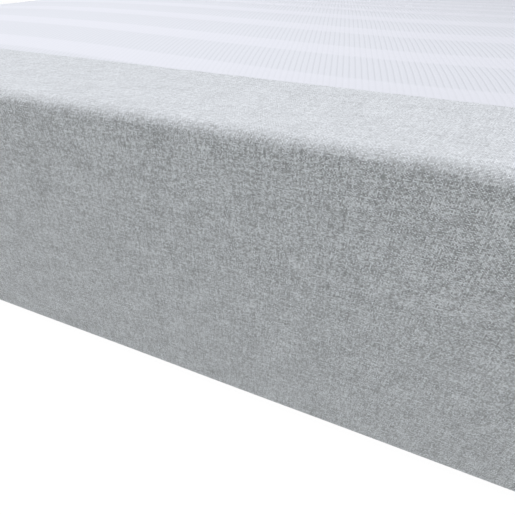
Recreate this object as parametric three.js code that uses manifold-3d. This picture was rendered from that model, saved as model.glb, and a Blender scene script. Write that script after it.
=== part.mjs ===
// A memory foam mattress: a zipped fabric cover over an inner sleeve over four foam layers.
// Units are millimetres. +X runs along the length from foot to head, +Y across the width, +Z up.
// The origin is the middle of the underside, on the surface that the mattress lies on.
import * as THREE from "three";
import { mergeVertices } from "three/addons/utils/BufferGeometryUtils.js";
import Module from "manifold-3d";

const wasm = await Module();
wasm.setup();

// Overall size.
const LENGTH = 2032;
const WIDTH = 1524;
const HEIGHT = 254;

// The body's outline and cross-section.
const CORNER_RADIUS = 72; // in plan, at the side
const CORNER_GROWTH = 0.2; // how much rounder the top's level lines get, per mm inwards
const LEAST_CORNER = 8; // the sharpest corner that a groove or hem turns
const CROWN_RISE = 38; // how far the middle of the top stands above its turned edge
const CROWN_REACH = 430; // from the side to where the top becomes flat
const TOP_EDGE_RADIUS = 24;
const BOTTOM_EDGE_RADIUS = 14;
const PLAN_STEPS = 8; // chords in a corner of the plan, an even number
const EDGE_STEPS = 5; // chords in a rounded edge of the cross-section
const CROWN_STEPS = 11; // rings on the crowned top
const BAND_STEPS = 5; // rings on the border's part of the top
const LAYER_STEPS = 6; // rings on the surface between two foam layers

// Cloth, and the gap kept between pieces that touch.
const GAP = 0.3;
const COVER_CLOTH = 2.6;
const SLEEVE_CLOTH = 1.2;
const BORDER_BAND = 60; // grey border on the top, from the side to the top panel's seam

// The zip's groove in the underside, measured inwards from the side.
const HEM_INSET = 30; // inner edge of the border's turned-up hem
const HEM_WIDTH = 7;
const HEM_HEIGHT = 5.7;
const ZIP_INSET = 42; // centre line of the zip
const TAPE_LAP = 3.6; // how far a tape is sewn on over its hem
const TAPE_CLOTH = 0.6;
const TAPE_GAP = 1.2; // between the two tapes
const TAPE_WIDTH = ZIP_INSET - HEM_INSET + TAPE_LAP - TAPE_GAP / 2;
const GROOVE_MARGIN = 4; // from the hems to the groove's walls in the foam
const GROOVE_DEPTH = 9.4; // above the surface, to the sleeve

// The zip's chain and its moving pieces.
const COIL_WIDTH = 2.4;
const COIL_HEIGHT = 1.6;
const COIL_GAP = 1.0;
const SLIDER_LENGTH = 13;
const SLIDER_FRONT = 10.5; // width over its shoulders
const SLIDER_PLATE = 0.8;
const SLIDER_POST = 0.4;
const FLANGE = 0.7;
const BRIDGE_LENGTH = 7.2;
const BRIDGE_WIDTH = 2;
const BRIDGE_BAR = 0.7;
const PULL_BAR = 1; // the cross bar that turns under the bridge
const PULL_WIDTH = 6.4;
const PULL_LENGTH = 26;
const PULL_THICKNESS = 1;
const PULL_SLACK = 0.4; // between the pull, the bridge and the slider

// Where the zip begins and ends, measured in from the head on the back side.
const CHAIN_END = 138; // closed end, where the slider parks
const CHAIN_START = 116;
const STOP_LENGTH = 3;
const STOP_OFFSET = 2.5; // from an end of the chain to its stop
const END_TAB_CLOTH = 0.9;

// Foam layers from the bottom up: name, colour and nominal thickness at the middle.
const FOAM_LAYERS = [
  { name: "foam_base_layer", colour: 0xe9e6dc, thickness: 127 },
  { name: "foam_transition_layer", colour: 0xdfe6ee, thickness: 51 },
  { name: "foam_gel_layer", colour: 0x9dc3dd, thickness: 38 },
  { name: "foam_memory_layer", colour: 0xf3efe2, thickness: 28 },
];

// The sewn-on care label, on the foot end near the back corner.
const LABEL_WIDTH = 90;
const LABEL_HEIGHT = 55;
const LABEL_CLOTH = 0.5;
const LABEL_FROM_BACK = 190;
const LABEL_Z = 58;

const CLOTHS = {
  border: { color: 0xa6abad, roughness: 0.95, metalness: 0 },
  top: { color: 0xe8ebf2, roughness: 0.9, metalness: 0 },
  base: { color: 0x6f7478, roughness: 0.95, metalness: 0 },
  sleeve: { color: 0xf4f3ee, roughness: 0.95, metalness: 0 },
  zip: { color: 0x5c6164, roughness: 0.6, metalness: 0 },
  metal: { color: 0xb9bcc0, roughness: 0.3, metalness: 1 },
  label: { color: 0xfafaf7, roughness: 0.6, metalness: 0 },
};

const mattress = new THREE.Group();

// ---------------------------------------------------------------- plan outline

// Quadrants in the order that the outline visits them, anticlockwise from above.
const CORNERS = [
  { x: 1, y: 1 },
  { x: -1, y: 1 },
  { x: -1, y: -1 },
  { x: 1, y: -1 },
];

// A station is where a cross-section stands on the outline: a corner and an angle, or the back side at an x.
function cornerStations(corner, from = 0, to = 1) {
  const stations = [];
  const first = Math.round(from * PLAN_STEPS);
  const last = Math.round(to * PLAN_STEPS);
  for (let i = first; i <= last; i += 1) {
    stations.push({ corner, angle: (corner + i / PLAN_STEPS) * (Math.PI / 2) });
  }
  return stations;
}

const fullOutline = CORNERS.flatMap((_, corner) => cornerStations(corner));

// The plan position of a station at a depth in from the side, where the corner's radius is known.
function planPoint(station, inset, radius) {
  const halfX = LENGTH / 2 - inset;
  const halfY = WIDTH / 2 - inset;
  if (station.backX !== undefined) {
    return [station.backX, halfY];
  }
  const corner = CORNERS[station.corner];
  const x = corner.x * (halfX - radius) + radius * Math.cos(station.angle);
  const y = corner.y * (halfY - radius) + radius * Math.sin(station.angle);
  return [x, y];
}

// ---------------------------------------------------------------- cross-section

// Height of the outer skin's top at a depth in from the side.
function crownHeight(inset) {
  const left = Math.max(0, 1 - inset / CROWN_REACH);
  return HEIGHT - CROWN_RISE * left ** 3;
}

function crownSlope(inset) {
  const left = Math.max(0, 1 - inset / CROWN_REACH);
  return (3 * CROWN_RISE * left ** 2) / CROWN_REACH;
}

// The angle at which the rounded top edge runs out into the crown.
function edgeRunout() {
  let angle = 0;
  for (let i = 0; i < 20; i += 1) {
    angle = Math.atan(crownSlope(TOP_EDGE_RADIUS * (1 - Math.sin(angle))));
  }
  return angle;
}

const RUNOUT = edgeRunout();
const RUNOUT_INSET = TOP_EDGE_RADIUS * (1 - Math.sin(RUNOUT));
const TOP_EDGE_Z = crownHeight(RUNOUT_INSET) - TOP_EDGE_RADIUS * Math.cos(RUNOUT);

// A point of the cross-section: depth in from the side, height, and the plan's corner radius there.
function sectionPoint(inset, z, radius = Math.max(CORNER_RADIUS - inset, LEAST_CORNER)) {
  return { inset, z, radius };
}

// A point on the crown, sunk by a depth below the outer skin.
function crownPoint(inset, sunk) {
  const slope = Math.atan(crownSlope(inset));
  const radius = CORNER_RADIUS + CORNER_GROWTH * inset - sunk;
  return sectionPoint(inset + sunk * Math.sin(slope), crownHeight(inset) - sunk * Math.cos(slope), radius);
}

// How far across a run a step is, with the steps closer together at the outer end.
function gradedShare(i, steps) {
  return (i / steps) ** 1.4;
}

// Crown points from one depth to another, closer together near the edge where the slope changes most.
function crownPoints(from, to, steps, sunk) {
  const points = [];
  for (let i = 0; i <= steps; i += 1) {
    points.push(crownPoint(from + (to - from) * gradedShare(i, steps), sunk));
  }
  return points;
}

// The rounded top edge of a skin sunk below the outer one, from the side up to the crown.
function topEdge(sunk) {
  const points = [];
  const reach = TOP_EDGE_RADIUS - sunk;
  for (let i = 0; i <= EDGE_STEPS; i += 1) {
    const share = i / EDGE_STEPS;
    const angle = Math.PI - share * (Math.PI / 2 - RUNOUT);
    const inset = TOP_EDGE_RADIUS + reach * Math.cos(angle);
    const radius = CORNER_RADIUS + CORNER_GROWTH * share * RUNOUT_INSET - sunk;
    points.push(sectionPoint(inset, TOP_EDGE_Z + reach * Math.sin(angle), radius));
  }
  return points;
}

// The rounded bottom edge, from the underside out to the side.
function bottomEdge(sunk) {
  const points = [];
  const reach = BOTTOM_EDGE_RADIUS - sunk;
  for (let i = 0; i <= EDGE_STEPS; i += 1) {
    const angle = -Math.PI / 2 - (i / EDGE_STEPS) * (Math.PI / 2);
    const inset = BOTTOM_EDGE_RADIUS + reach * Math.cos(angle);
    points.push(sectionPoint(inset, BOTTOM_EDGE_RADIUS + reach * Math.sin(angle)));
  }
  return points;
}

// ---------------------------------------------------------------- solids

// A geometry from corner positions and faces, turned so that its faces point out.
function closedGeometry(positions, faces) {
  let volume = 0;
  const [a, b, c] = [new THREE.Vector3(), new THREE.Vector3(), new THREE.Vector3()];
  for (let i = 0; i < faces.length; i += 3) {
    a.fromArray(positions, faces[i] * 3);
    b.fromArray(positions, faces[i + 1] * 3);
    c.fromArray(positions, faces[i + 2] * 3);
    volume += a.dot(b.cross(c)) / 6;
  }
  const outward = volume > 0 ? faces : [...faces].reverse();
  const geometry = new THREE.BufferGeometry();
  geometry.setAttribute("position", new THREE.Float32BufferAttribute(positions, 3));
  geometry.setIndex(outward);
  geometry.computeVertexNormals();
  return geometry;
}

// Two triangles between matching edges of neighbouring rows.
function quad(faces, a, b, c, d) {
  faces.push(a, b, c, a, c, d);
}

// Stacks closed outlines, one for each section point, from the first cap to the last.
function lofted(section) {
  const positions = [];
  const faces = [];
  const count = fullOutline.length;
  section.forEach(({ inset, z, radius }) => {
    fullOutline.forEach((station) => {
      positions.push(...planPoint(station, inset, radius), z);
    });
  });
  for (let row = 0; row < section.length - 1; row += 1) {
    for (let i = 0; i < count; i += 1) {
      const next = (i + 1) % count;
      const low = row * count;
      quad(faces, low + i, low + next, low + count + next, low + count + i);
    }
  }
  const last = (section.length - 1) * count;
  for (let i = 1; i < count - 1; i += 1) {
    faces.push(0, i + 1, i, last, last + i, last + i + 1);
  }
  return closedGeometry(positions, faces);
}

// Sweeps a closed cross-section along an open run of stations and caps both ends.
function swept(section, stations, trim = () => [0, 0]) {
  const positions = [];
  const faces = [];
  const count = section.length;
  stations.forEach((station, i) => {
    const [dx, dy] = trim(i, stations.length);
    section.forEach(({ inset, z, radius }) => {
      const [x, y] = planPoint(station, inset, radius);
      positions.push(x + dx, y + dy, z);
    });
  });
  for (let row = 0; row < stations.length - 1; row += 1) {
    for (let i = 0; i < count; i += 1) {
      const next = (i + 1) % count;
      const low = row * count;
      quad(faces, low + i, low + next, low + count + next, low + count + i);
    }
  }
  // The caps face along the run, so they follow the way that the cross-section is drawn.
  const flat = section.map(({ inset, z }) => new THREE.Vector2(inset, z));
  const drawn = THREE.ShapeUtils.isClockWise(flat) ? 1 : -1;
  const last = (stations.length - 1) * count;
  THREE.ShapeUtils.triangulateShape(flat, []).forEach(([a, b, c]) => {
    const [p, q] = drawn > 0 ? [b, c] : [c, b];
    faces.push(a, p, q, last + a, last + q, last + p);
  });
  return closedGeometry(positions, faces);
}

// A rectangular strip's cross-section on the underside, between two insets and two heights.
function stripSection(insetFrom, insetTo, zFrom, zTo) {
  return [
    sectionPoint(insetFrom, zFrom),
    sectionPoint(insetTo, zFrom),
    sectionPoint(insetTo, zTo),
    sectionPoint(insetFrom, zTo),
  ];
}

// A geometry as a solid that can be joined and cut.
function toSolid(geometry) {
  const bare = geometry.index ? geometry.toNonIndexed() : geometry.clone();
  bare.deleteAttribute("normal");
  bare.deleteAttribute("uv");
  const merged = mergeVertices(bare, 1e-4);
  const mesh = new wasm.Mesh({
    numProp: 3,
    vertProperties: merged.attributes.position.array,
    triVerts: new Uint32Array(merged.index.array),
  });
  return new wasm.Manifold(mesh);
}

function fromSolid(solid) {
  const { vertProperties, triVerts } = solid.getMesh();
  const geometry = new THREE.BufferGeometry();
  geometry.setAttribute("position", new THREE.BufferAttribute(vertProperties, 3));
  geometry.setIndex(new THREE.BufferAttribute(triVerts, 1));
  geometry.computeVertexNormals();
  return geometry;
}

// A box between two corners, as a solid.
function boxSolid(from, to) {
  const size = to.map((value, i) => value - from[i]);
  const middle = to.map((value, i) => (value + from[i]) / 2);
  return toSolid(new THREE.BoxGeometry(...size).translate(...middle));
}

// A flat shape raised between two heights, as a solid.
function plateSolid(shape, zFrom, zTo) {
  const options = { depth: zTo - zFrom, bevelEnabled: false, curveSegments: 6 };
  return toSolid(new THREE.ExtrudeGeometry(shape, options).translate(0, 0, zFrom));
}

function add(name, geometry, finish) {
  const mesh = new THREE.Mesh(geometry, new THREE.MeshStandardMaterial(finish));
  mesh.name = name;
  mattress.add(mesh);
  return mesh;
}

// ---------------------------------------------------------------- cover

// The border's cross-section: hem, underside, rounded edges, side and the band on the top.
function borderSection() {
  const outer = [
    sectionPoint(HEM_INSET, 0),
    ...bottomEdge(0),
    ...topEdge(0),
    ...crownPoints(RUNOUT_INSET, BORDER_BAND, BAND_STEPS, 0).slice(1),
  ];
  const inner = [
    ...crownPoints(RUNOUT_INSET, BORDER_BAND, BAND_STEPS, COVER_CLOTH).slice(1).reverse(),
    ...topEdge(COVER_CLOTH).reverse(),
    ...bottomEdge(COVER_CLOTH).reverse(),
    sectionPoint(HEM_INSET - HEM_WIDTH, COVER_CLOTH),
    sectionPoint(HEM_INSET - HEM_WIDTH, HEM_HEIGHT),
    sectionPoint(HEM_INSET, HEM_HEIGHT),
  ];
  return [...outer, ...inner];
}

// The four border strips meet in mitred seams half-way round each corner.
function addBorders() {
  const sides = [
    { name: "cover_border_back", corners: [0, 1], shift: [0, 1] },
    { name: "cover_border_foot", corners: [1, 2], shift: [-1, 0] },
    { name: "cover_border_front", corners: [2, 3], shift: [0, -1] },
    { name: "cover_border_head", corners: [3, 0], shift: [1, 0] },
  ];
  const section = borderSection();
  sides.forEach(({ name, corners, shift }) => {
    const stations = [...cornerStations(corners[0], 0.5, 1), ...cornerStations(corners[1], 0, 0.5)];
    const along = [-shift[1], shift[0]];
    const trim = (i, count) => {
      const pull = i === 0 ? GAP : i === count - 1 ? -GAP : 0;
      return [along[0] * pull, along[1] * pull];
    };
    add(name, swept(section, stations, trim), CLOTHS.border);
  });
}

function addTopPanel() {
  const from = BORDER_BAND + GAP;
  const outer = crownPoints(from, CROWN_REACH, CROWN_STEPS, 0);
  const inner = crownPoints(from, CROWN_REACH, CROWN_STEPS, COVER_CLOTH);
  add("cover_top_panel", lofted([...inner.reverse(), ...outer]), CLOTHS.top);
}

// The base cloth, with its edge turned up to carry the inner zip tape.
const BASE_INSET = 2 * ZIP_INSET - HEM_INSET;

function addBasePanel() {
  const section = [
    sectionPoint(BASE_INSET, 0),
    sectionPoint(BASE_INSET, HEM_HEIGHT),
    sectionPoint(BASE_INSET + HEM_WIDTH, HEM_HEIGHT),
    sectionPoint(BASE_INSET + HEM_WIDTH, COVER_CLOTH),
  ];
  add("cover_base_panel", lofted(section), CLOTHS.base);
}

// ---------------------------------------------------------------- zip

const TAPE_Z = HEM_HEIGHT + GAP;
const COIL_Z = TAPE_Z - GAP - COIL_HEIGHT;
const SLIDER_LOW_PLATE_Z = COIL_Z - GAP - SLIDER_PLATE;
const SLIDER_HIGH_PLATE_Z = TAPE_Z + TAPE_CLOTH + GAP;
const PULL_Z = SLIDER_LOW_PLATE_Z - PULL_SLACK - PULL_BAR / 2;
const CHAIN_END_X = LENGTH / 2 - CHAIN_END;
const CHAIN_START_X = LENGTH / 2 - CHAIN_START;
const ZIP_Y = WIDTH / 2 - ZIP_INSET;
const COILS_HALF = COIL_WIDTH + COIL_GAP / 2 + GAP; // clear half-width over both coils
const SLIDER_REAR = 2 * (COILS_HALF + FLANGE);
const SLIDER_X = CHAIN_END_X - STOP_OFFSET - STOP_LENGTH / 2 - GAP - SLIDER_LENGTH / 2;

// The zip runs from its closed end along the back side, round all four corners, and back to its start.
function zipStations() {
  return [
    { backX: CHAIN_END_X },
    ...cornerStations(1),
    ...cornerStations(2),
    ...cornerStations(3),
    ...cornerStations(0),
    { backX: CHAIN_START_X },
  ];
}

function addZipChain() {
  const stations = zipStations();
  const tapeHalfGap = TAPE_GAP / 2;
  const coilHalfGap = COIL_GAP / 2;
  const strips = [
    { name: "zip_tape_border", side: -1, near: tapeHalfGap, width: TAPE_WIDTH, z: TAPE_Z, high: TAPE_CLOTH },
    { name: "zip_tape_base", side: 1, near: tapeHalfGap, width: TAPE_WIDTH, z: TAPE_Z, high: TAPE_CLOTH },
    { name: "zip_coil_border", side: -1, near: coilHalfGap, width: COIL_WIDTH, z: COIL_Z, high: COIL_HEIGHT },
    { name: "zip_coil_base", side: 1, near: coilHalfGap, width: COIL_WIDTH, z: COIL_Z, high: COIL_HEIGHT },
  ];
  strips.forEach(({ name, side, near, width, z, high }) => {
    const insets = [ZIP_INSET + side * near, ZIP_INSET + side * (near + width)].sort((a, b) => a - b);
    add(name, swept(stripSection(insets[0], insets[1], z, z + high), stations), CLOTHS.zip);
  });
}

// A stop is a staple across both coils at an end of the chain.
function addStops() {
  const low = SLIDER_LOW_PLATE_Z;
  const half = COILS_HALF;
  const stops = [
    { name: "zip_end_stop", x: CHAIN_END_X - STOP_OFFSET },
    { name: "zip_start_stop", x: CHAIN_START_X + STOP_OFFSET },
  ];
  stops.forEach(({ name, x }) => {
    const from = x - STOP_LENGTH / 2;
    const to = x + STOP_LENGTH / 2;
    const bar = boxSolid([from, ZIP_Y - half - FLANGE, low], [to, ZIP_Y + half + FLANGE, low + SLIDER_PLATE]);
    const legs = [-1, 1].map((side) => {
      const edges = [ZIP_Y + side * half, ZIP_Y + side * (half + FLANGE)].sort((a, b) => a - b);
      return boxSolid([from, edges[0], low], [to, edges[1], TAPE_Z - GAP]);
    });
    add(name, fromSolid(bar.add(legs[0]).add(legs[1])), CLOTHS.metal);
  });
}

// A patch of cloth sewn to both hems between the two ends of the zip.
function addEndTab() {
  const reach = TAPE_GAP / 2 + TAPE_WIDTH; // as wide as both tapes
  const tab = boxSolid(
    [CHAIN_END_X + GAP, ZIP_Y - reach, TAPE_Z],
    [CHAIN_START_X - GAP, ZIP_Y + reach, TAPE_Z + END_TAB_CLOTH],
  );
  add("zip_end_tab", fromSolid(tab), CLOTHS.border);
}

// The slider's outline from below: broad shoulders at the front, tapering to the rear.
function sliderShape() {
  const front = SLIDER_LENGTH / 2;
  const shape = new THREE.Shape();
  shape.moveTo(-front, -SLIDER_REAR / 2);
  shape.lineTo(0, -SLIDER_REAR / 2);
  shape.quadraticCurveTo(front * 0.4, -SLIDER_FRONT / 2, front * 0.7, -SLIDER_FRONT / 2);
  shape.quadraticCurveTo(front, -SLIDER_FRONT / 2, front, -SLIDER_FRONT / 4);
  shape.lineTo(front, SLIDER_FRONT / 4);
  shape.quadraticCurveTo(front, SLIDER_FRONT / 2, front * 0.7, SLIDER_FRONT / 2);
  shape.quadraticCurveTo(front * 0.4, SLIDER_FRONT / 2, 0, SLIDER_REAR / 2);
  shape.lineTo(-front, SLIDER_REAR / 2);
  shape.closePath();
  return shape;
}

// An arch under the lower plate that holds the pull.
function bridgeSolid() {
  const half = BRIDGE_LENGTH / 2;
  const low = PULL_Z - PULL_BAR / 2 - PULL_SLACK - BRIDGE_BAR;
  const high = SLIDER_LOW_PLATE_Z + SLIDER_PLATE / 2;
  const shape = new THREE.Shape();
  shape.moveTo(-half, high);
  shape.lineTo(-half, low + BRIDGE_BAR);
  shape.lineTo(-half + BRIDGE_BAR, low);
  shape.lineTo(half - BRIDGE_BAR, low);
  shape.lineTo(half, low + BRIDGE_BAR);
  shape.lineTo(half, high);
  shape.lineTo(half - BRIDGE_BAR, high);
  shape.lineTo(half - BRIDGE_BAR, low + BRIDGE_BAR);
  shape.lineTo(-half + BRIDGE_BAR, low + BRIDGE_BAR);
  shape.lineTo(-half + BRIDGE_BAR, high);
  shape.closePath();
  const options = { depth: BRIDGE_WIDTH, bevelEnabled: false };
  const geometry = new THREE.ExtrudeGeometry(shape, options);
  geometry.translate(0, 0, -BRIDGE_WIDTH / 2).rotateX(Math.PI / 2);
  return toSolid(geometry);
}

function addSlider() {
  const shape = sliderShape();
  const lowPlate = plateSolid(shape, SLIDER_LOW_PLATE_Z, SLIDER_LOW_PLATE_Z + SLIDER_PLATE);
  const highPlate = plateSolid(shape, SLIDER_HIGH_PLATE_Z, SLIDER_HIGH_PLATE_Z + SLIDER_PLATE);
  const front = SLIDER_LENGTH / 2;
  const post = boxSolid(
    [front * 0.35, -SLIDER_POST / 2, SLIDER_LOW_PLATE_Z + SLIDER_PLATE / 2],
    [front * 0.95, SLIDER_POST / 2, SLIDER_HIGH_PLATE_Z + SLIDER_PLATE / 2],
  );
  // Flanges turn up from the lower plate beside the coils and stop short of the tapes.
  const outline = plateSolid(shape, SLIDER_LOW_PLATE_Z + SLIDER_PLATE / 2, TAPE_Z - GAP);
  const channel = boxSolid([-SLIDER_LENGTH, -COILS_HALF, 0], [SLIDER_LENGTH, COILS_HALF, HEIGHT]);
  const flanges = outline.subtract(channel);
  const body = lowPlate.add(highPlate).add(post).add(flanges).add(bridgeSolid());
  const mesh = add("zip_slider", fromSolid(body), CLOTHS.metal);
  mesh.position.set(SLIDER_X, ZIP_Y, 0);
}

// The pull lies flat along the closed chain and turns about its cross bar.
function addPull() {
  const half = PULL_WIDTH / 2;
  const holeHalf = BRIDGE_WIDTH / 2 + PULL_SLACK;
  const holeEnd = BRIDGE_LENGTH / 2 + PULL_SLACK;
  const shape = new THREE.Shape();
  shape.moveTo(PULL_BAR / 2, -half);
  shape.lineTo(PULL_BAR / 2, half);
  shape.lineTo(-PULL_LENGTH * 0.55, half);
  shape.quadraticCurveTo(-PULL_LENGTH, half, -PULL_LENGTH, 0);
  shape.quadraticCurveTo(-PULL_LENGTH, -half, -PULL_LENGTH * 0.55, -half);
  shape.closePath();
  const hole = new THREE.Path();
  hole.moveTo(-PULL_BAR / 2, -holeHalf);
  hole.lineTo(-holeEnd, -holeHalf);
  hole.lineTo(-holeEnd, holeHalf);
  hole.lineTo(-PULL_BAR / 2, holeHalf);
  hole.closePath();
  shape.holes.push(hole);
  const plate = plateSolid(shape, PULL_Z - PULL_THICKNESS / 2, PULL_Z + PULL_THICKNESS / 2);
  const mesh = add("zip_pull", fromSolid(plate), CLOTHS.metal);
  mesh.position.set(SLIDER_X, ZIP_Y, 0);
}

// ---------------------------------------------------------------- sleeve and foam

const SLEEVE_SUNK = COVER_CLOTH + GAP;
const FOAM_SUNK = SLEEVE_SUNK + SLEEVE_CLOTH + GAP;
const GROOVE_OUTER = HEM_INSET - HEM_WIDTH - GROOVE_MARGIN;
const GROOVE_INNER = BASE_INSET + HEM_WIDTH + GROOVE_MARGIN;

// The underside of a body that stands over the zip: flat in the middle, with a groove above the chain.
function groovedUnderside(height, grow) {
  const roof = GROOVE_DEPTH + height - SLEEVE_SUNK;
  return [
    sectionPoint(GROOVE_INNER + grow, height),
    sectionPoint(GROOVE_INNER + grow, roof),
    sectionPoint(GROOVE_OUTER - grow, roof),
    sectionPoint(GROOVE_OUTER - grow, height),
  ];
}

const SLEEVE_SEAM_Z = 30; // where the sleeve's skirt meets its base sheet, on the side

// The sleeve's upper part: a deep tray, open below, over the top and down the sides.
function addSleeve() {
  const skin = (sunk) => [
    sectionPoint(sunk, SLEEVE_SEAM_Z + GAP),
    ...topEdge(sunk),
    ...crownPoints(RUNOUT_INSET, CROWN_REACH, CROWN_STEPS, sunk).slice(1),
  ];
  const outer = skin(SLEEVE_SUNK);
  const inner = skin(SLEEVE_SUNK + SLEEVE_CLOTH);
  add("inner_sleeve_top", lofted([...inner.reverse(), ...outer]), CLOTHS.sleeve);

  const under = [
    ...groovedUnderside(SLEEVE_SUNK, 0),
    ...bottomEdge(SLEEVE_SUNK),
    sectionPoint(SLEEVE_SUNK, SLEEVE_SEAM_Z),
  ];
  const over = [
    ...groovedUnderside(SLEEVE_SUNK + SLEEVE_CLOTH, SLEEVE_CLOTH),
    ...bottomEdge(SLEEVE_SUNK + SLEEVE_CLOTH),
    sectionPoint(SLEEVE_SUNK + SLEEVE_CLOTH, SLEEVE_SEAM_Z),
  ];
  add("inner_sleeve_base", lofted([...under, ...over.reverse()]), CLOTHS.sleeve);
}

// The surface between two foam layers, as a share of the foam's height from its underside.
function foamInterface(share, lift) {
  const points = [];
  for (let i = 0; i <= LAYER_STEPS; i += 1) {
    const inset = FOAM_SUNK + (CROWN_REACH - FOAM_SUNK) * gradedShare(i, LAYER_STEPS);
    const z = FOAM_SUNK + share * (crownHeight(inset) - 2 * FOAM_SUNK) + lift;
    const radius = CORNER_RADIUS + CORNER_GROWTH * (inset - FOAM_SUNK) - FOAM_SUNK;
    points.push(sectionPoint(inset, z, radius));
  }
  return points;
}

function addFoam() {
  const total = FOAM_LAYERS.reduce((sum, layer) => sum + layer.thickness, 0);
  let below = 0;
  FOAM_LAYERS.forEach(({ name, colour, thickness }, i) => {
    const from = below / total;
    const to = (below + thickness) / total;
    below += thickness;
    const grow = SLEEVE_CLOTH + GAP;
    const low = i === 0
      ? [...groovedUnderside(FOAM_SUNK, grow), ...bottomEdge(FOAM_SUNK)]
      : foamInterface(from, GAP / 2).reverse();
    const high = i === FOAM_LAYERS.length - 1
      ? [...topEdge(FOAM_SUNK), ...crownPoints(RUNOUT_INSET, CROWN_REACH, CROWN_STEPS, FOAM_SUNK).slice(1)]
      : foamInterface(to, -GAP / 2);
    add(name, lofted([...low, ...high]), { color: colour, roughness: 0.95, metalness: 0 });
  });
}

// ---------------------------------------------------------------- label

function addCareLabel() {
  const face = -LENGTH / 2 - GAP;
  const y = WIDTH / 2 - LABEL_FROM_BACK;
  const label = boxSolid(
    [face - LABEL_CLOTH, y - LABEL_WIDTH / 2, LABEL_Z - LABEL_HEIGHT / 2],
    [face, y + LABEL_WIDTH / 2, LABEL_Z + LABEL_HEIGHT / 2],
  );
  add("care_label", fromSolid(label), CLOTHS.label);
}

addFoam();
addSleeve();
addBorders();
addTopPanel();
addBasePanel();
addZipChain();
addStops();
addEndTab();
addSlider();
addPull();
addCareLabel();

export default mattress;
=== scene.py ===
"""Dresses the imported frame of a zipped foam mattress: its cover, zip, sleeve, foam and studio."""

import logging
import math
from dataclasses import dataclass, field
from enum import Enum
from typing import Any, Optional, Sequence, Union

import bmesh
import bpy
import numpy as np
from mathutils import Matrix, Vector

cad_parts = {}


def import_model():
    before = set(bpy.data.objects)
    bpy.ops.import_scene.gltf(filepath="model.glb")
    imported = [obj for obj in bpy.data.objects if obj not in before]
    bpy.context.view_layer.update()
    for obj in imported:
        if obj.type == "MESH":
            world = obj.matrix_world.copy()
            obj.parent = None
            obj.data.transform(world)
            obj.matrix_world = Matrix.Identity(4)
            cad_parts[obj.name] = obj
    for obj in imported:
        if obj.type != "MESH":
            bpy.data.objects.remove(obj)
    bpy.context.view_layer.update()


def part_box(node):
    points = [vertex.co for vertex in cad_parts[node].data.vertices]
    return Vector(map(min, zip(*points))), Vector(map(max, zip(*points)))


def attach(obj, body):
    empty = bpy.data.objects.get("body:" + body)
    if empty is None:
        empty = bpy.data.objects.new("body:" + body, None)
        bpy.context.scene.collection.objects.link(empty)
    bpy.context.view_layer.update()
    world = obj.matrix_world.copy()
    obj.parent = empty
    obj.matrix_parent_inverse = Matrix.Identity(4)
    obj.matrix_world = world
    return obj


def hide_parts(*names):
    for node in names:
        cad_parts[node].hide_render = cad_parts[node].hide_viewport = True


LOG = logging.getLogger("mattress")
MM = 0.001
ROOT = "mattress"
FIRST_STRIPE = 9 * MM  # from the front seam to the first stripe's middle, before its wave

Array = np.ndarray
Socket = bpy.types.NodeSocket
Feed = Union[float, tuple, Socket]


# ------------------------------------------------------------------ outline and cross-section


QUADRANTS = np.array([[1.0, 1.0], [-1.0, 1.0], [-1.0, -1.0], [1.0, -1.0]])


class Side(Enum):
    """The four sides, each by the two corners its strip runs between, anticlockwise from above."""

    BACK = (0, 1)
    FOOT = (1, 2)
    FRONT = (2, 3)
    HEAD = (3, 0)


@dataclass
class Stations:
    """Places along the plan outline, each on the line from one corner point to another."""

    first: Array
    first_angle: Array
    second: Array
    second_angle: Array
    share: Array

    @staticmethod
    def corner(index: int, start: float, end: float, steps: int) -> "Stations":
        """Places round a corner.

        Args:
            index: The corner's place in QUADRANTS.
            start: Where to begin, as a share of the corner's quarter turn.
            end: Where to stop, as a share of the quarter turn.
            steps: The number of chords.

        Returns:
            steps + 1 places.
        """
        angle = (index + np.linspace(start, end, steps + 1)) * (math.pi / 2)
        corner = np.full(steps + 1, index)
        return Stations(corner, angle, corner, angle, np.zeros(steps + 1))

    @staticmethod
    def straight(side: Side, steps: int) -> "Stations":
        """Places strictly between the two corners of a side.

        Args:
            side: The side.
            steps: The number of chords between the corners.

        Returns:
            steps - 1 places.
        """
        share = np.linspace(0, 1, steps + 1)[1:-1]
        first = np.full(len(share), side.value[0])
        second = np.full(len(share), side.value[1])
        return Stations(
            first, (first + 1) * (math.pi / 2), second, second * (math.pi / 2), share
        )

    @staticmethod
    def joined(parts: Sequence["Stations"]) -> "Stations":
        """The places of several runs, in order."""
        names = ("first", "first_angle", "second", "second_angle", "share")
        return Stations(*(np.concatenate([getattr(p, n) for p in parts]) for n in names))

    @staticmethod
    def strip(side: Side, corner_steps: int, side_steps: int) -> "Stations":
        """Places along one border strip, from half-way round a corner to half-way round the next."""
        return Stations.joined([
            Stations.corner(side.value[0], 0.5, 1.0, corner_steps),
            Stations.straight(side, side_steps),
            Stations.corner(side.value[1], 0.0, 0.5, corner_steps),
        ])

    @staticmethod
    def ring(corner_steps: int, side_steps: int) -> "Stations":
        """Places all the way round, beginning where the back side begins."""
        parts = []
        for side in Side:
            parts.append(Stations.corner(side.value[0], 0.0, 1.0, corner_steps))
            parts.append(Stations.straight(side, side_steps))
        return Stations.joined(parts)


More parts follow.
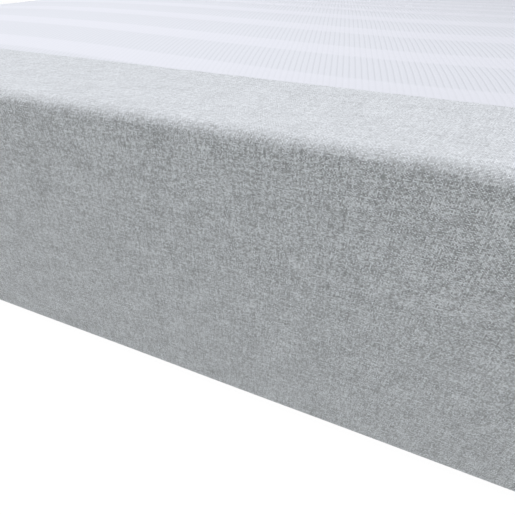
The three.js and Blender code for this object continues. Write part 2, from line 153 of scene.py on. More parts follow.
@dataclass
class Section:
    """Rows of a cross-section: how far in from the side, how high, and the corner radius in plan."""

    inset: Array
    z: Array
    radius: Array

    @staticmethod
    def joined(parts: Sequence["Section"]) -> "Section":
        """The rows of several stretches, in order."""
        names = ("inset", "z", "radius")
        return Section(*(np.concatenate([getattr(p, n) for p in parts]) for n in names))

    def part(self, rows: slice) -> "Section":
        """Some of the rows."""
        return Section(self.inset[rows], self.z[rows], self.radius[rows])

    def reach(self) -> Array:
        """How far along the cloth each row is from the first."""
        steps = np.hypot(np.diff(self.inset), np.diff(self.z))
        return np.concatenate([[0.0], np.cumsum(steps)])

    def normals(self) -> tuple[Array, Array]:
        """The outward direction at each row, as its inset and height parts."""
        along = np.maximum(np.gradient(self.reach()), 1e-9)
        step_in, step_up = np.gradient(self.inset) / along, np.gradient(self.z) / along
        size = np.maximum(np.hypot(step_in, step_up), 1e-9)
        return -step_up / size, step_in / size


@dataclass
class Form:
    """The mattress's outer form, read from the frame where it can be."""

    half_x: float
    half_y: float
    height: float
    band: float
    corner: float = 72 * MM
    corner_growth: float = 0.2
    least_corner: float = 8 * MM
    rise: float = 38 * MM
    crown_reach: float = 430 * MM
    shoulder: float = 8 * MM
    top_edge: float = 24 * MM
    bottom_edge: float = 14 * MM
    cloth: float = 2.6 * MM
    gap: float = 0.3 * MM
    runout: float = field(init=False)
    runout_inset: float = field(init=False)
    top_edge_z: float = field(init=False)

    def __post_init__(self) -> None:
        """Works out where the rounded top edge runs out into the crown."""
        angle = 0.0
        for _ in range(20):
            angle = math.atan(float(self.slope(self.top_edge * (1 - math.sin(angle)))))
        self.runout = angle
        self.runout_inset = self.top_edge * (1 - math.sin(angle))
        self.top_edge_z = float(self.crown(self.runout_inset)) - self.top_edge * math.cos(angle)

    @staticmethod
    def from_frame() -> "Form":
        """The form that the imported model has."""
        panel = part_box("cover_top_panel")[1]
        half_x, half_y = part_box("cover_border_head")[1].x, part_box("cover_border_back")[1].y
        return Form(half_x, half_y, panel.z, half_y - panel.y, top_edge=8 * MM)

    def crown(self, inset: Any) -> Any:
        """Height of the top at a depth in from the side, with the border's band held up at its edge."""
        left = np.maximum(0.0, 1 - np.asarray(inset) / self.crown_reach)
        band_left = np.maximum(0.0, 1 - np.asarray(inset) / self.band)
        return self.height - self.rise * left**3 + self.shoulder * band_left**2

    def slope(self, inset: Any) -> Any:
        """Slope of the top at a depth in from the side."""
        left = np.maximum(0.0, 1 - np.asarray(inset) / self.crown_reach)
        band_left = np.maximum(0.0, 1 - np.asarray(inset) / self.band)
        return 3 * self.rise * left**2 / self.crown_reach - 2 * self.shoulder * band_left / self.band

    def plain_radius(self, inset: Any) -> Any:
        """Corner radius of the plan below the top, at a depth in from the side."""
        return np.maximum(self.corner - np.asarray(inset), self.least_corner)

    def level(self, insets: Sequence[float], heights: Sequence[float]) -> Section:
        """Rows below the top, at given depths and heights."""
        inset = np.asarray(insets, float)
        return Section(inset, np.asarray(heights, float), self.plain_radius(inset))

    def bottom_arc(self, sunk: float, steps: int) -> Section:
        """The rounded bottom edge, from the underside out to the side."""
        angle = -math.pi / 2 - np.linspace(0, math.pi / 2, steps + 1)
        reach = self.bottom_edge - sunk
        return self.level(
            self.bottom_edge + reach * np.cos(angle), self.bottom_edge + reach * np.sin(angle)
        )

    def top_arc(self, sunk: float, steps: int) -> Section:
        """The rounded top edge, from the side up to the crown."""
        share = np.linspace(0, 1, steps + 1)
        angle = math.pi - share * (math.pi / 2 - self.runout)
        reach = self.top_edge - sunk
        radius = self.corner + self.corner_growth * share * self.runout_inset - sunk
        return Section(
            self.top_edge + reach * np.cos(angle), self.top_edge_z + reach * np.sin(angle), radius
        )

    def crown_rows(self, insets: Array, sunk: float) -> Section:
        """Rows on the crowned top at given depths, sunk below the outer skin."""
        insets = np.asarray(insets, float)
        tilt = np.arctan(self.slope(insets))
        radius = self.corner + self.corner_growth * insets - sunk
        return Section(
            insets + sunk * np.sin(tilt), self.crown(insets) - sunk * np.cos(tilt), radius
        )

    def plan(self, stations: Stations, inset: Array, radius: Array) -> Array:
        """Plan places of rows at stations.

        Args:
            stations: Where along the outline.
            inset: Depth in from the side, by row or by row and station.
            radius: Corner radius, the same way.

        Returns:
            Rows by stations by x and y.
        """
        inset = inset[:, None] if inset.ndim == 1 else inset
        radius = radius[:, None] if radius.ndim == 1 else radius

        def place(corner: Array, angle: Array, axis: int) -> Array:
            """One coordinate of the points round their corners."""
            half = self.half_x if axis == 0 else self.half_y
            turn = np.cos(angle) if axis == 0 else np.sin(angle)
            return QUADRANTS[corner, axis] * (half - inset - radius) + radius * turn

        axes = []
        for axis in (0, 1):
            start = place(stations.first, stations.first_angle, axis)
            end = place(stations.second, stations.second_angle, axis)
            axes.append(start + (end - start) * stations.share)
        return np.stack(axes, axis=-1)

    def surface(self, section: Section, stations: Stations, push: Any = 0.0) -> Array:
        """Points of a swept cross-section, pushed out along its own outward direction.

        Args:
            section: The rows.
            stations: The columns.
            push: How far out, as a number or by row and station.

        Returns:
            Rows by stations by x, y and z.
        """
        across, up = section.normals()
        shape = (len(section.z), len(stations.share))
        push = np.broadcast_to(np.asarray(push, float), shape)
        inset = section.inset[:, None] + push * across[:, None]
        radius = section.radius[:, None] - push * across[:, None]
        flat = self.plan(stations, inset, radius)
        height = section.z[:, None] + push * up[:, None]
        return np.concatenate([flat, height[..., None]], axis=-1)

    def girth(self, stations: Stations) -> Array:
        """How far round the side each station is from the first."""
        line = self.plan(stations, np.zeros(1), np.full(1, self.corner))[0]
        steps = np.linalg.norm(np.diff(line, axis=0), axis=1)
        return np.concatenate([[0.0], np.cumsum(steps)])

    def inset_at(self, x: Array, y: Array) -> Array:
        """Depth in from the side of the crown's level line through each plan place."""
        inset = np.full(np.broadcast(x, y).shape, self.band)
        for _ in range(12):
            radius = self.corner + self.corner_growth * inset
            over_x = np.abs(x) - (self.half_x - inset - radius)
            over_y = np.abs(y) - (self.half_y - inset - radius)
            outside = np.hypot(np.maximum(over_x, 0), np.maximum(over_y, 0))
            inside = np.minimum(np.maximum(over_x, over_y), 0)
            inset = np.clip(inset - (outside + inside - radius), 0, self.crown_reach)
        return inset


@dataclass(frozen=True)
class Ripple:
    """Soft unevenness that hand-sewn cloth has, as a few crossing waves.

    Attributes:
        height: The size of each wave, in metres.
        shortest: The shortest wavelength, in metres.
        longest: The longest wavelength, in metres.
        seed: Picks the directions and phases.
        count: How many waves are added.
    """

    height: float
    shortest: float
    longest: float
    seed: int
    count: int = 9

    def at(self, u: Array, v: Array) -> Array:
        """The unevenness at places on the cloth, in metres."""
        draw = np.random.default_rng(self.seed)
        total = np.zeros(np.broadcast(u, v).shape)
        for _ in range(self.count):
            length = self.shortest * (self.longest / self.shortest) ** draw.random()
            way, phase = draw.random() * math.pi, draw.random() * 2 * math.pi
            along = u * math.cos(way) + v * math.sin(way)
            total += np.sin(2 * math.pi * along / length + phase)
        return total * self.height / math.sqrt(self.count)


# ------------------------------------------------------------------ meshes


def grid_faces(rows: int, columns: int, start: int, wrapped: bool) -> Array:
    """Quads of a grid of points.

    Args:
        rows: The number of rows.
        columns: The number of points in a row.
        start: The number of the first point.
        wrapped: Whether the last column meets the first.

    Returns:
        Four point numbers for each face.
    """
    row, column = np.meshgrid(np.arange(rows - 1), np.arange(columns - (not wrapped)), indexing="ij")
    after = (column + 1) % columns
    low, high = start + row * columns, start + (row + 1) * columns
    return np.stack([low + column, low + after, high + after, high + column], -1).reshape(-1, 4)


def band_faces(first: Array, second: Array) -> Array:
    """Quads between two lines of matching points."""
    return np.stack([first[:-1], first[1:], second[1:], second[:-1]], -1)


def cap_net(line: Array) -> Array:
    """Quads that close a flat outline with an even number of points."""
    half = len(line) // 2
    return band_faces(line[:half], line[half:][::-1])


def signed_volume(points: Array, quads: Array) -> float:
    """Volume of a closed mesh, negative if its faces point in."""
    total = 0.0
    for pick in ([0, 1, 2], [0, 2, 3]):
        a, b, c = (points[quads[:, i]] for i in pick)
        total += float((a * np.cross(b, c)).sum() / 6)
    return total


def mesh_object(name: str, points: Array, quads: Array, uv: Optional[Array] = None) -> bpy.types.Object:
    """A smooth object of quads whose faces point out.

    Args:
        name: The object's name.
        points: Places of the points, in metres.
        quads: Four point numbers for each face.
        uv: A place on the cloth for each point, in metres.

    Returns:
        The object, linked to the scene.
    """
    if signed_volume(points, quads) < 0:
        quads = quads[:, ::-1]
    mesh = bpy.data.meshes.new(name)
    mesh.vertices.add(len(points))
    mesh.vertices.foreach_set("co", points.astype(np.float32).ravel())
    mesh.loops.add(quads.size)
    mesh.loops.foreach_set("vertex_index", quads.astype(np.int32).ravel())
    mesh.polygons.add(len(quads))
    mesh.polygons.foreach_set("loop_start", np.arange(0, quads.size, 4, dtype=np.int32))
    mesh.update(calc_edges=True)
    if uv is not None:
        layer = mesh.uv_layers.new(name="cloth")
        layer.data.foreach_set("uv", uv[quads.ravel()].astype(np.float32).ravel())
    mesh.validate()
    mesh.shade_smooth()
    mesh.set_sharp_from_angle(angle=math.radians(50))
    return linked(bpy.data.objects.new(name, mesh))


def linked(piece: bpy.types.Object) -> bpy.types.Object:
    """The same object, in the scene."""
    bpy.context.scene.collection.objects.link(piece)
    return piece


def shell(name: str, outer: Array, inner: Array, uv: Array, wrapped: bool = False) -> bpy.types.Object:
    """A closed sheet of cloth between two grids.

    Args:
        name: The object's name.
        outer: Rows by columns by x, y and z.
        inner: The same for the other face.
        uv: Rows by columns by the place on the cloth.
        wrapped: Whether the last column meets the first.

    Returns:
        The object.
    """
    rows, columns = outer.shape[:2]
    count = rows * columns
    number = np.arange(count).reshape(rows, columns)
    faces = [grid_faces(rows, columns, 0, wrapped)]
    faces.append(grid_faces(rows, columns, count, wrapped)[:, ::-1])
    edges = [(number[0], False), (number[-1], True)]
    if not wrapped:
        edges += [(number[:, 0], True), (number[:, -1], False)]
    for line, turned in edges:
        line = np.append(line, line[0]) if wrapped else line
        rim = band_faces(line, line + count)
        faces.append(rim if turned else rim[:, ::-1])
    points = np.concatenate([outer.reshape(-1, 3), inner.reshape(-1, 3)])
    places = np.concatenate([uv.reshape(-1, 2), uv.reshape(-1, 2)])
    return mesh_object(name, points, np.concatenate(faces), places)


def block(name: str, form: Form, section: Section, stations: Stations) -> bpy.types.Object:
    """A solid stacked from closed outlines, with both ends capped by a net of quads.

    Args:
        name: The object's name.
        form: The mattress's form.
        section: The rows, from the underside's middle round to the top's middle.
        stations: The columns, all the way round.

    Returns:
        The object.
    """
    grid = form.surface(section, stations)
    rows, columns = grid.shape[:2]
    points = grid.reshape(-1, 3)
    girth = np.append(form.girth(stations), 0)[:columns]
    reach = section.reach()
    uv = np.stack(np.broadcast_arrays(girth[None, :], reach[:, None]), -1).reshape(-1, 2)
    quads = grid_faces(rows, columns, 0, True)
    caps = [cap_net(np.arange(columns))[:, ::-1], cap_net((rows - 1) * columns + np.arange(columns))]
    return mesh_object(name, points, np.concatenate([quads, *caps]), uv)


def cloth_places(form: Form, section: Section, stations: Stations) -> Array:
    """Where each point of a swept cloth is on the cloth: round the girth and up the cross-section."""
    girth = form.girth(stations)[None, :]
    return np.stack(np.broadcast_arrays(girth, section.reach()[:, None]), -1)


def refined(node: str, name: str, bevel: float) -> bpy.types.Object:
    """A copy of a hard CAD piece with its edges broken, in its own place.

    Args:
        node: The CAD node.
        name: The new piece's name.
        bevel: The width of the broken edge, in metres.

    Returns:
        The piece, not yet standing for the node.
    """
    source = bpy.data.objects[node]
    mesh = source.data.copy()
    mesh.transform(source.matrix_world)
    work = bmesh.new()
    work.from_mesh(mesh)
    bmesh.ops.remove_doubles(work, verts=work.verts, dist=0.002 * MM)
    flat = [e for e in work.edges if len(e.link_faces) == 2 and e.calc_face_angle(0) < math.radians(1)]
    bmesh.ops.dissolve_edges(work, edges=flat, use_verts=False)
    sharp = [e for e in work.edges if len(e.link_faces) == 2 and e.calc_face_angle(0) > math.radians(35)]
    bmesh.ops.bevel(
        work, geom=sharp, offset=bevel, segments=2, profile=0.6, affect="EDGES", clamp_overlap=True
    )
    work.to_mesh(mesh)
    work.free()
    mesh.materials.clear()
    mesh.shade_smooth()
    mesh.set_sharp_from_angle(angle=math.radians(40))
    return linked(bpy.data.objects.new(name, mesh))


# ------------------------------------------------------------------ node graphs


class Graph:
    """A node tree being wired, with short calls for the nodes that the finishes use."""

    def __init__(self, tree: bpy.types.NodeTree) -> None:
        """Starts on a tree."""
        self.tree = tree

    def node(self, kind: str, **settings: Any) -> bpy.types.Node:
        """A new node with its settings."""
        made = self.tree.nodes.new(kind)
        for name, value in settings.items():
            setattr(made, name, value)
        return made

    def feed(self, socket: Socket, value: Feed) -> None:
        """Links a socket, or sets its value."""
        if isinstance(value, bpy.types.NodeSocket):
            self.tree.links.new(value, socket)
        else:
            socket.default_value = value

    def math(self, operation: str, *values: Feed, clamp: bool = False) -> Socket:
        """The result of a Math node."""
        made = self.node("ShaderNodeMath", operation=operation, use_clamp=clamp)
        for socket, value in zip(made.inputs, values):
            self.feed(socket, value)
        return made.outputs[0]

    def weighted(self, base: float, *terms: tuple[Feed, Socket]) -> Socket:
        """A base plus weighted values, each counted from a half."""
        total: Feed = base
        for weight, value in terms:
            centred = self.math("SUBTRACT", value, 0.5)
            total = self.math("ADD", total, self.math("MULTIPLY", centred, weight))
        return total

    def parts(self, vector: Socket) -> tuple[Socket, Socket, Socket]:
        """The x, y and z of a vector."""
        made = self.node("ShaderNodeSeparateXYZ")
        self.feed(made.inputs[0], vector)
        return tuple(made.outputs)

    def vector(self, x: Feed, y: Feed, z: Feed = 0.0) -> Socket:
        """A vector from its parts."""
        made = self.node("ShaderNodeCombineXYZ")
        for socket, value in zip(made.inputs, (x, y, z)):
            self.feed(socket, value)
        return made.outputs[0]

    def noise(self, vector: Socket, detail: float = 1.0, flat: bool = True) -> Socket:
        """Smooth noise whose cells are one unit wide."""
        made = self.node("ShaderNodeTexNoise", noise_dimensions="2D" if flat else "3D")
        self.feed(made.inputs["Vector"], vector)
        made.inputs["Scale"].default_value = 1.0
        made.inputs["Detail"].default_value = detail
        made.inputs["Roughness"].default_value = 0.6
        return made.outputs[0]

    def cells(self, vector: Socket, output: str, flat: bool = True) -> Socket:
        """An output of Voronoi cells that are one unit wide."""
        made = self.node("ShaderNodeTexVoronoi", voronoi_dimensions="2D" if flat else "3D")
        self.feed(made.inputs["Vector"], vector)
        made.inputs["Scale"].default_value = 1.0
        return made.outputs[output]

    def speck(self, vector: Socket) -> Socket:
        """A random value for each whole-numbered place."""
        made = self.node("ShaderNodeTexWhiteNoise", noise_dimensions="2D")
        self.feed(made.inputs["Vector"], vector)
        return made.outputs["Value"]

    def dome(self, count: Socket) -> Socket:
        """A rounded rise over each whole unit, from 0 at its ends to 1 at its middle."""
        place = self.math("FRACT", count)
        rise = self.math("MULTIPLY", place, self.math("SUBTRACT", 1.0, place))
        return self.math("MULTIPLY", rise, 4.0)

    def mix(self, factor: Feed, low: Feed, high: Feed) -> Socket:
        """A colour between two colours."""
        made = self.node("ShaderNodeMix", data_type="RGBA", clamp_factor=True)
        for name, value in (("Factor_Float", factor), ("A_Color", low), ("B_Color", high)):
            socket = next(s for s in made.inputs if s.identifier == name)
            self.feed(socket, value)
        return next(s for s in made.outputs if s.identifier == "Result_Color")

    def ramp(self, value: Socket, stops: Sequence[tuple[float, tuple]]) -> Socket:
        """A colour ramp.

        Args:
            value: What picks the colour.
            stops: Places from 0 to 1, each with its linear colour.

        Returns:
            The colour.
        """
        made = self.node("ShaderNodeValToRGB")
        row = made.color_ramp.elements
        while len(row) < len(stops):
            row.new(0.5)
        for element, (place, colour) in zip(row, stops):
            element.position, element.color = place, (*colour, 1.0)
        self.feed(made.inputs[0], value)
        return made.outputs[0]

    def group(self, tree: bpy.types.NodeTree, **values: Feed) -> bpy.types.Node:
        """A placed node group, with underscores in a name for the spaces in its input's name."""
        kind = "GeometryNodeGroup" if tree.bl_idname == "GeometryNodeTree" else "ShaderNodeGroup"
        made = self.node(kind)
        made.node_tree = tree
        for name, value in values.items():
            self.feed(made.inputs[name.replace("_", " ")], value)
        return made


@dataclass(frozen=True)
class Port:
    """A named input or output of a node group.

    Attributes:
        name: What the socket is called.
        kind: The end of its socket type, such as Float or Vector.
        value: Its value where nothing is linked.
        output: Whether it is an output.
    """

    name: str
    kind: str = "Float"
    value: Any = None
    output: bool = False

    def add_to(self, tree: bpy.types.NodeTree) -> None:
        """Makes the socket on a tree."""
        way = "OUTPUT" if self.output else "INPUT"
        made = tree.interface.new_socket(self.name, in_out=way, socket_type=f"NodeSocket{self.kind}")
        if self.value is not None:
            made.default_value = self.value


def new_group(name: str, ports: Sequence[Port]) -> tuple[Graph, bpy.types.Node, bpy.types.Node]:
    """A shader node group.

    Args:
        name: Its name.
        ports: Its inputs and outputs.

    Returns:
        The graph, its input node and its output node.
    """
    tree = bpy.data.node_groups.new(name, "ShaderNodeTree")
    for port in ports:
        port.add_to(tree)
    graph = Graph(tree)
    return graph, graph.node("NodeGroupInput"), graph.node("NodeGroupOutput")


class Effects:
    """The node groups that the finishes share, each built once."""

    def __init__(self) -> None:
        """Builds every group."""
        self.yarn = self._yarn()
        self.ribs = self._ribs()
        self.stripes = self._stripes()
        self.foam = self._foam()

    @staticmethod
    def _yarn() -> bpy.types.NodeTree:
        """A plain weave of uneven threads, with flecks of mixed fibre and painted shade in the gaps between
        threads.
        """
        graph, given, result = new_group("melange_weave", [
            Port("Vector", "Vector"),
            Port("Thread width", value=1 * MM),
            Port("Slub length", value=8 * MM),
            Port("Slubs", value=1.0),
            Port("Flecks", value=0.6),
            Port("Checks", value=0.2),
            Port("Clouds", value=0.5),
            Port("Tone", output=True),
            Port("Height", output=True),
        ])
        u, v, _ = graph.parts(given.outputs["Vector"])
        width, slub = given.outputs["Thread width"], given.outputs["Slub length"]
        across, along = graph.math("DIVIDE", u, width), graph.math("DIVIDE", v, width)
        warp_number, weft_number = graph.math("FLOOR", across), graph.math("FLOOR", along)
        u_slub, v_slub = graph.math("DIVIDE", u, slub), graph.math("DIVIDE", v, slub)
        warp = graph.noise(graph.vector(graph.math("MULTIPLY", warp_number, 13.7), v_slub))
        weft = graph.noise(graph.vector(u_slub, graph.math("MULTIPLY", weft_number, 7.3)))
        sum_number = graph.math("ADD", warp_number, weft_number)
        over = graph.math("FLOORED_MODULO", sum_number, 2.0)
        thread = graph.math("ADD", graph.math("MULTIPLY", warp, over),
                            graph.math("MULTIPLY", weft, graph.math("SUBTRACT", 1.0, over)))
        fleck = graph.speck(graph.vector(warp_number, weft_number))
        u_cloud = graph.math("MULTIPLY", u_slub, 0.5)
        cloud_place = graph.vector(u_cloud, graph.math("MULTIPLY", v_slub, 0.7))
        cloud = graph.noise(cloud_place, detail=2.0)
        # The dome rounds each thread in the height. In the tone it is painted shade, darkening each thread's
        # edges where the gaps between threads fall in shade.
        dome = graph.math("MULTIPLY", graph.dome(across), graph.dome(along))
        tone = graph.weighted(
            0.5,
            (given.outputs["Slubs"], thread),
            (given.outputs["Flecks"], fleck),
            (given.outputs["Checks"], over),
            (given.outputs["Clouds"], cloud),
            (0.5, dome),
        )
        graph.feed(result.inputs["Tone"], tone)
        graph.feed(result.inputs["Height"], graph.math("ADD", dome, tone))
        return graph.tree

    @staticmethod
    def _ribs() -> bpy.types.NodeTree:
        """Grooves between knitted ribs that lie side by side along the first axis."""
        graph, given, result = new_group("knit_ribs", [
            Port("Along"),
            Port("Pitch", value=3.5 * MM),
            Port("Groove share", value=0.5),
            Port("Groove", output=True),
            Port("Rib", output=True),
        ])
        count = graph.math("DIVIDE", given.outputs["Along"], given.outputs["Pitch"])
        place = graph.math("ABSOLUTE", graph.math("SUBTRACT", graph.math("FRACT", count), 0.5))
        depth = graph.math("DIVIDE", graph.math("SUBTRACT", place, 0.5), given.outputs["Groove share"])
        groove = graph.math("ADD", graph.math("MULTIPLY", depth, 2.0), 1.0, clamp=True)
        eased = graph.math("SUBTRACT", 3.0, graph.math("MULTIPLY", groove, 2.0))
        smooth = graph.math("MULTIPLY", graph.math("MULTIPLY", groove, groove), eased)
        graph.feed(result.inputs["Groove"], smooth)
        graph.feed(result.inputs["Rib"], graph.math("FLOOR", count))
        return graph.tree

    @staticmethod
    def _stripes() -> bpy.types.NodeTree:
        """Smooth stripes that wave along the cloth, stepped from rib to rib."""
        graph, given, result = new_group("wavy_stripes", [
            Port("Along"),
            Port("Across"),
            Port("Period", value=55 * MM),
            Port("Width", value=15 * MM),
            Port("Start", value=0.0),
            Port("Wave height", value=11 * MM),
            Port("Wave length", value=560 * MM),
            Port("Wave start", value=0.0),
            Port("Softness", value=2 * MM),
            Port("Stripe", output=True),
        ])
        run = graph.math("SUBTRACT", given.outputs["Along"], given.outputs["Wave start"])
        turn = graph.math("DIVIDE", run, given.outputs["Wave length"])
        wave = graph.math("COSINE", graph.math("MULTIPLY", turn, 2 * math.pi))
        shift = graph.math("MULTIPLY", wave, given.outputs["Wave height"])
        place = graph.math("SUBTRACT", given.outputs["Across"], given.outputs["Start"])
        place = graph.math("SUBTRACT", place, shift)
        period = given.outputs["Period"]
        nearest = graph.math("ROUND", graph.math("DIVIDE", place, period))
        middle = graph.math("MULTIPLY", nearest, period)
        away = graph.math("ABSOLUTE", graph.math("SUBTRACT", place, middle))
        inside = graph.math("SUBTRACT", graph.math("MULTIPLY", given.outputs["Width"], 0.5), away)
        inside = graph.math("DIVIDE", inside, given.outputs["Softness"])
        stripe = graph.math("ADD", inside, 0.5, clamp=True)
        graph.feed(result.inputs["Stripe"], stripe)
        return graph.tree

    @staticmethod
    def _foam() -> bpy.types.NodeTree:
        """The open cells of cut foam."""
        graph, given, result = new_group("foam_cells", [
            Port("Vector", "Vector"),
            Port("Cell", value=1.2 * MM),
            Port("Tone", output=True),
            Port("Height", output=True),
        ])
        scaled = graph.node("ShaderNodeVectorMath", operation="SCALE")
        graph.feed(scaled.inputs["Vector"], given.outputs["Vector"])
        graph.feed(scaled.inputs["Scale"], graph.math("DIVIDE", 1.0, given.outputs["Cell"]))
        near = graph.cells(scaled.outputs[0], "Distance", flat=False)
        broad = graph.node("ShaderNodeVectorMath", operation="SCALE")
        graph.feed(broad.inputs["Vector"], scaled.outputs[0])
        broad.inputs["Scale"].default_value = 0.06
        cloud = graph.noise(broad.outputs[0], detail=2.0, flat=False)
        tone = graph.weighted(0.5, (0.7, near), (0.8, cloud))
        graph.feed(result.inputs["Tone"], tone)
        graph.feed(result.inputs["Height"], near)
        return graph.tree


# ------------------------------------------------------------------ finishes


def principled(
    name: str, roughness: float, **constants: float
) -> tuple[bpy.types.Material, Graph, bpy.types.Node]:
    """A new material with a Principled BSDF.

    Args:
        name: The material's name.
        roughness: Its roughness.
        constants: Other values by socket name, with underscores for spaces.

    Returns:
        The material, its graph and the shader node.
    """
    material = bpy.data.materials.new(name)
    material.use_nodes = True
    graph = Graph(material.node_tree)
    shader = next(n for n in material.node_tree.nodes if n.type == "BSDF_PRINCIPLED")
    shader.inputs["Roughness"].default_value = roughness
    for key, value in constants.items():
        shader.inputs[key.replace("_", " ")].default_value = value
    return material, graph, shader


def relief(graph: Graph, shader: bpy.types.Node, height: Socket, distance: float, strength: float) -> None:
    """Feeds a height to the shader's normal.

    Args:
        graph: The material's graph.
        shader: Its shader.
        height: The height, from 0 to about 1.
        distance: What a height of 1 stands for, in metres.
        strength: How much of it shows.
    """
    bump = graph.node("ShaderNodeBump")
    bump.inputs["Distance"].default_value = distance
    bump.inputs["Strength"].default_value = strength
    graph.feed(bump.inputs["Height"], height)
    graph.feed(shader.inputs["Normal"], bump.outputs["Normal"])


def coordinates(graph: Graph, output: str) -> Socket:
    """Texture coordinates of a kind."""
    return graph.node("ShaderNodeTexCoord").outputs[output]


@dataclass(frozen=True)
class WovenFinish:
    """A cloth woven of mixed yarn.

    Attributes:
        name: The material's name.
        dark: Linear colour of the darkest yarn.
        middle: Linear colour of most of the yarn.
        light: Linear colour of the lightest yarn.
        thread: Thread width, in metres.
        slub: Length of a thick or dark stretch of yarn, in metres.
        slubs: How much the slubs show.
        flecks: How much single fibres show.
        checks: How much darker the threads one way are than the other way.
        clouds: How much the tone drifts.
        places: UV where the weave follows the cloth, Object elsewhere.
        sheen: Strength of the soft edge light of its fibres.
        bump: Height of the weave, in metres.
        painted_top_light_calm: How much less the yarn's unevenness shows on the top, a painted light
            standing in for the brighter, flatter light that falls on the top rather than on the side.
        painted_top_light_height: Height above which the cloth counts as the top, in metres.
    """

    name: str
    dark: tuple
    middle: tuple
    light: tuple
    thread: float = 1.1 * MM
    slub: float = 8 * MM
    slubs: float = 1.0
    flecks: float = 0.6
    checks: float = 0.15
    clouds: float = 0.5
    places: str = "UV"
    sheen: float = 0.25
    bump: float = 0.35 * MM
    painted_top_light_calm: float = 0.0
    painted_top_light_height: float = 215 * MM

    def material(self, effects: Effects) -> bpy.types.Material:
        """The material."""
        made, graph, shader = principled(
            self.name, 0.92, Sheen_Weight=self.sheen, Sheen_Roughness=0.45, Specular_IOR_Level=0.15
        )
        yarn = graph.group(
            effects.yarn,
            Vector=coordinates(graph, self.places),
            Thread_width=self.thread,
            Slub_length=self.slub,
            Slubs=self.slubs,
            Flecks=self.flecks,
            Checks=self.checks,
            Clouds=self.clouds,
        )
        tone = yarn.outputs["Tone"]
        # Painted light: above the given height the yarn's tone is drawn towards its middle, standing in for
        # the brighter, flatter light on the top.
        if self.painted_top_light_calm:
            height = graph.parts(coordinates(graph, "Object"))[2]
            over = graph.math("SUBTRACT", height, self.painted_top_light_height)
            over = graph.math("DIVIDE", over, 8 * MM, clamp=True)
            kept = graph.math("SUBTRACT", 1.0, graph.math("MULTIPLY", over, self.painted_top_light_calm))
            tone = graph.math("ADD", graph.math("MULTIPLY", graph.math("SUBTRACT", tone, 0.5), kept), 0.5)
        colour = graph.ramp(tone, [(0.05, self.dark), (0.5, self.middle), (0.95, self.light)])
        graph.feed(shader.inputs["Base Color"], colour)
        relief(graph, shader, yarn.outputs["Height"], self.bump, 0.6)
        return made


@dataclass(frozen=True)
class KnitFinish:
    """A ribbed knit with smooth stripes that wave along it.

    Attributes:
        name: The material's name.
        rib: Linear colour of the ribs.
        groove: Linear colour in the grooves, a painted shade standing for the shade that falls in them.
        stripe: Linear colour of the smooth stripes.
        pitch: From rib to rib, in metres.
        skew: How far the ribs lean along the panel for each metre across it.
        start: Where the first stripe's middle lies across the panel, in metres.
        period: From stripe to stripe, in metres.
        width: Width of a stripe, in metres.
        wave_height: How far a stripe swings, in metres.
        wave_length: Length of a swing, in metres.
        wave_start: Where a swing is at its furthest in, in metres.
        depth: Depth of a groove, in metres.
        faint: How much of the grooves is left on a smooth stripe.
    """

    name: str
    rib: tuple
    groove: tuple
    stripe: tuple
    start: float
    pitch: float = 3.6 * MM
    skew: float = 0.09
    period: float = 52 * MM
    width: float = 19 * MM
    wave_height: float = 7 * MM
    wave_length: float = 540 * MM
    wave_start: float = -700 * MM
    depth: float = 0.16 * MM
    faint: float = 0.3

    def material(self, effects: Effects) -> bpy.types.Material:
        """The material."""
        made, graph, shader = principled(
            self.name, 0.85, Sheen_Weight=0.2, Sheen_Roughness=0.4, Specular_IOR_Level=0.2
        )
        place = coordinates(graph, "Object")
        along, across, _ = graph.parts(place)
        lean = graph.math("MULTIPLY", graph.math("SUBTRACT", across, self.start), self.skew)
        ribs = graph.group(effects.ribs, Along=graph.math("ADD", along, lean), Pitch=self.pitch)
        stepped = graph.math("SUBTRACT", graph.math("MULTIPLY", ribs.outputs["Rib"], self.pitch), lean)
        stripes = graph.group(
            effects.stripes,
            Along=stepped,
            Across=across,
            Start=self.start,
            Period=self.period,
            Width=self.width,
            Wave_height=self.wave_height,
            Wave_length=self.wave_length,
            Wave_start=self.wave_start,
        )
        stripe = stripes.outputs["Stripe"]
        kept = graph.math("SUBTRACT", 1.0, graph.math("MULTIPLY", stripe, 1 - self.faint))
        groove = graph.math("MULTIPLY", ribs.outputs["Groove"], kept)
        yarn = graph.group(
            effects.yarn, Vector=place, Thread_width=0.7 * MM, Slub_length=3 * MM, Slubs=0.7,
            Flecks=0.5, Clouds=0.3
        )
        ground = graph.mix(stripe, (*self.rib, 1), (*self.stripe, 1))
        # Painted shade: the grooves take the darker groove colour.
        sunk = graph.mix(groove, ground, (*self.groove, 1))
        shade = graph.math("MULTIPLY", graph.math("SUBTRACT", yarn.outputs["Tone"], 0.5), 0.22)
        tinted = graph.mix(graph.math("ABSOLUTE", shade), sunk, (*self.groove, 1))
        graph.feed(shader.inputs["Base Color"], tinted)
        fine = graph.math("MULTIPLY", yarn.outputs["Height"], 0.12)
        relief(graph, shader, graph.math("SUBTRACT", fine, groove), self.depth, 0.75)
        return made


@dataclass(frozen=True)
class FoamFinish:
    """Cut foam.

    Attributes:
        name: The material's name.
        dark: Linear colour in the cells.
        light: Linear colour of the cell walls.
        cell: Width of a cell, in metres.
    """

    name: str
    dark: tuple
    light: tuple
    cell: float = 1.2 * MM

    def material(self, effects: Effects) -> bpy.types.Material:
        """The material."""
        made, graph, shader = principled(self.name, 0.9, Specular_IOR_Level=0.2)
        foam = graph.group(effects.foam, Vector=coordinates(graph, "Object"), Cell=self.cell)
        colour = graph.ramp(foam.outputs["Tone"], [(0.2, self.dark), (0.8, self.light)])
        graph.feed(shader.inputs["Base Color"], colour)
        relief(graph, shader, foam.outputs["Height"], 0.5 * MM, 0.7)
        return made


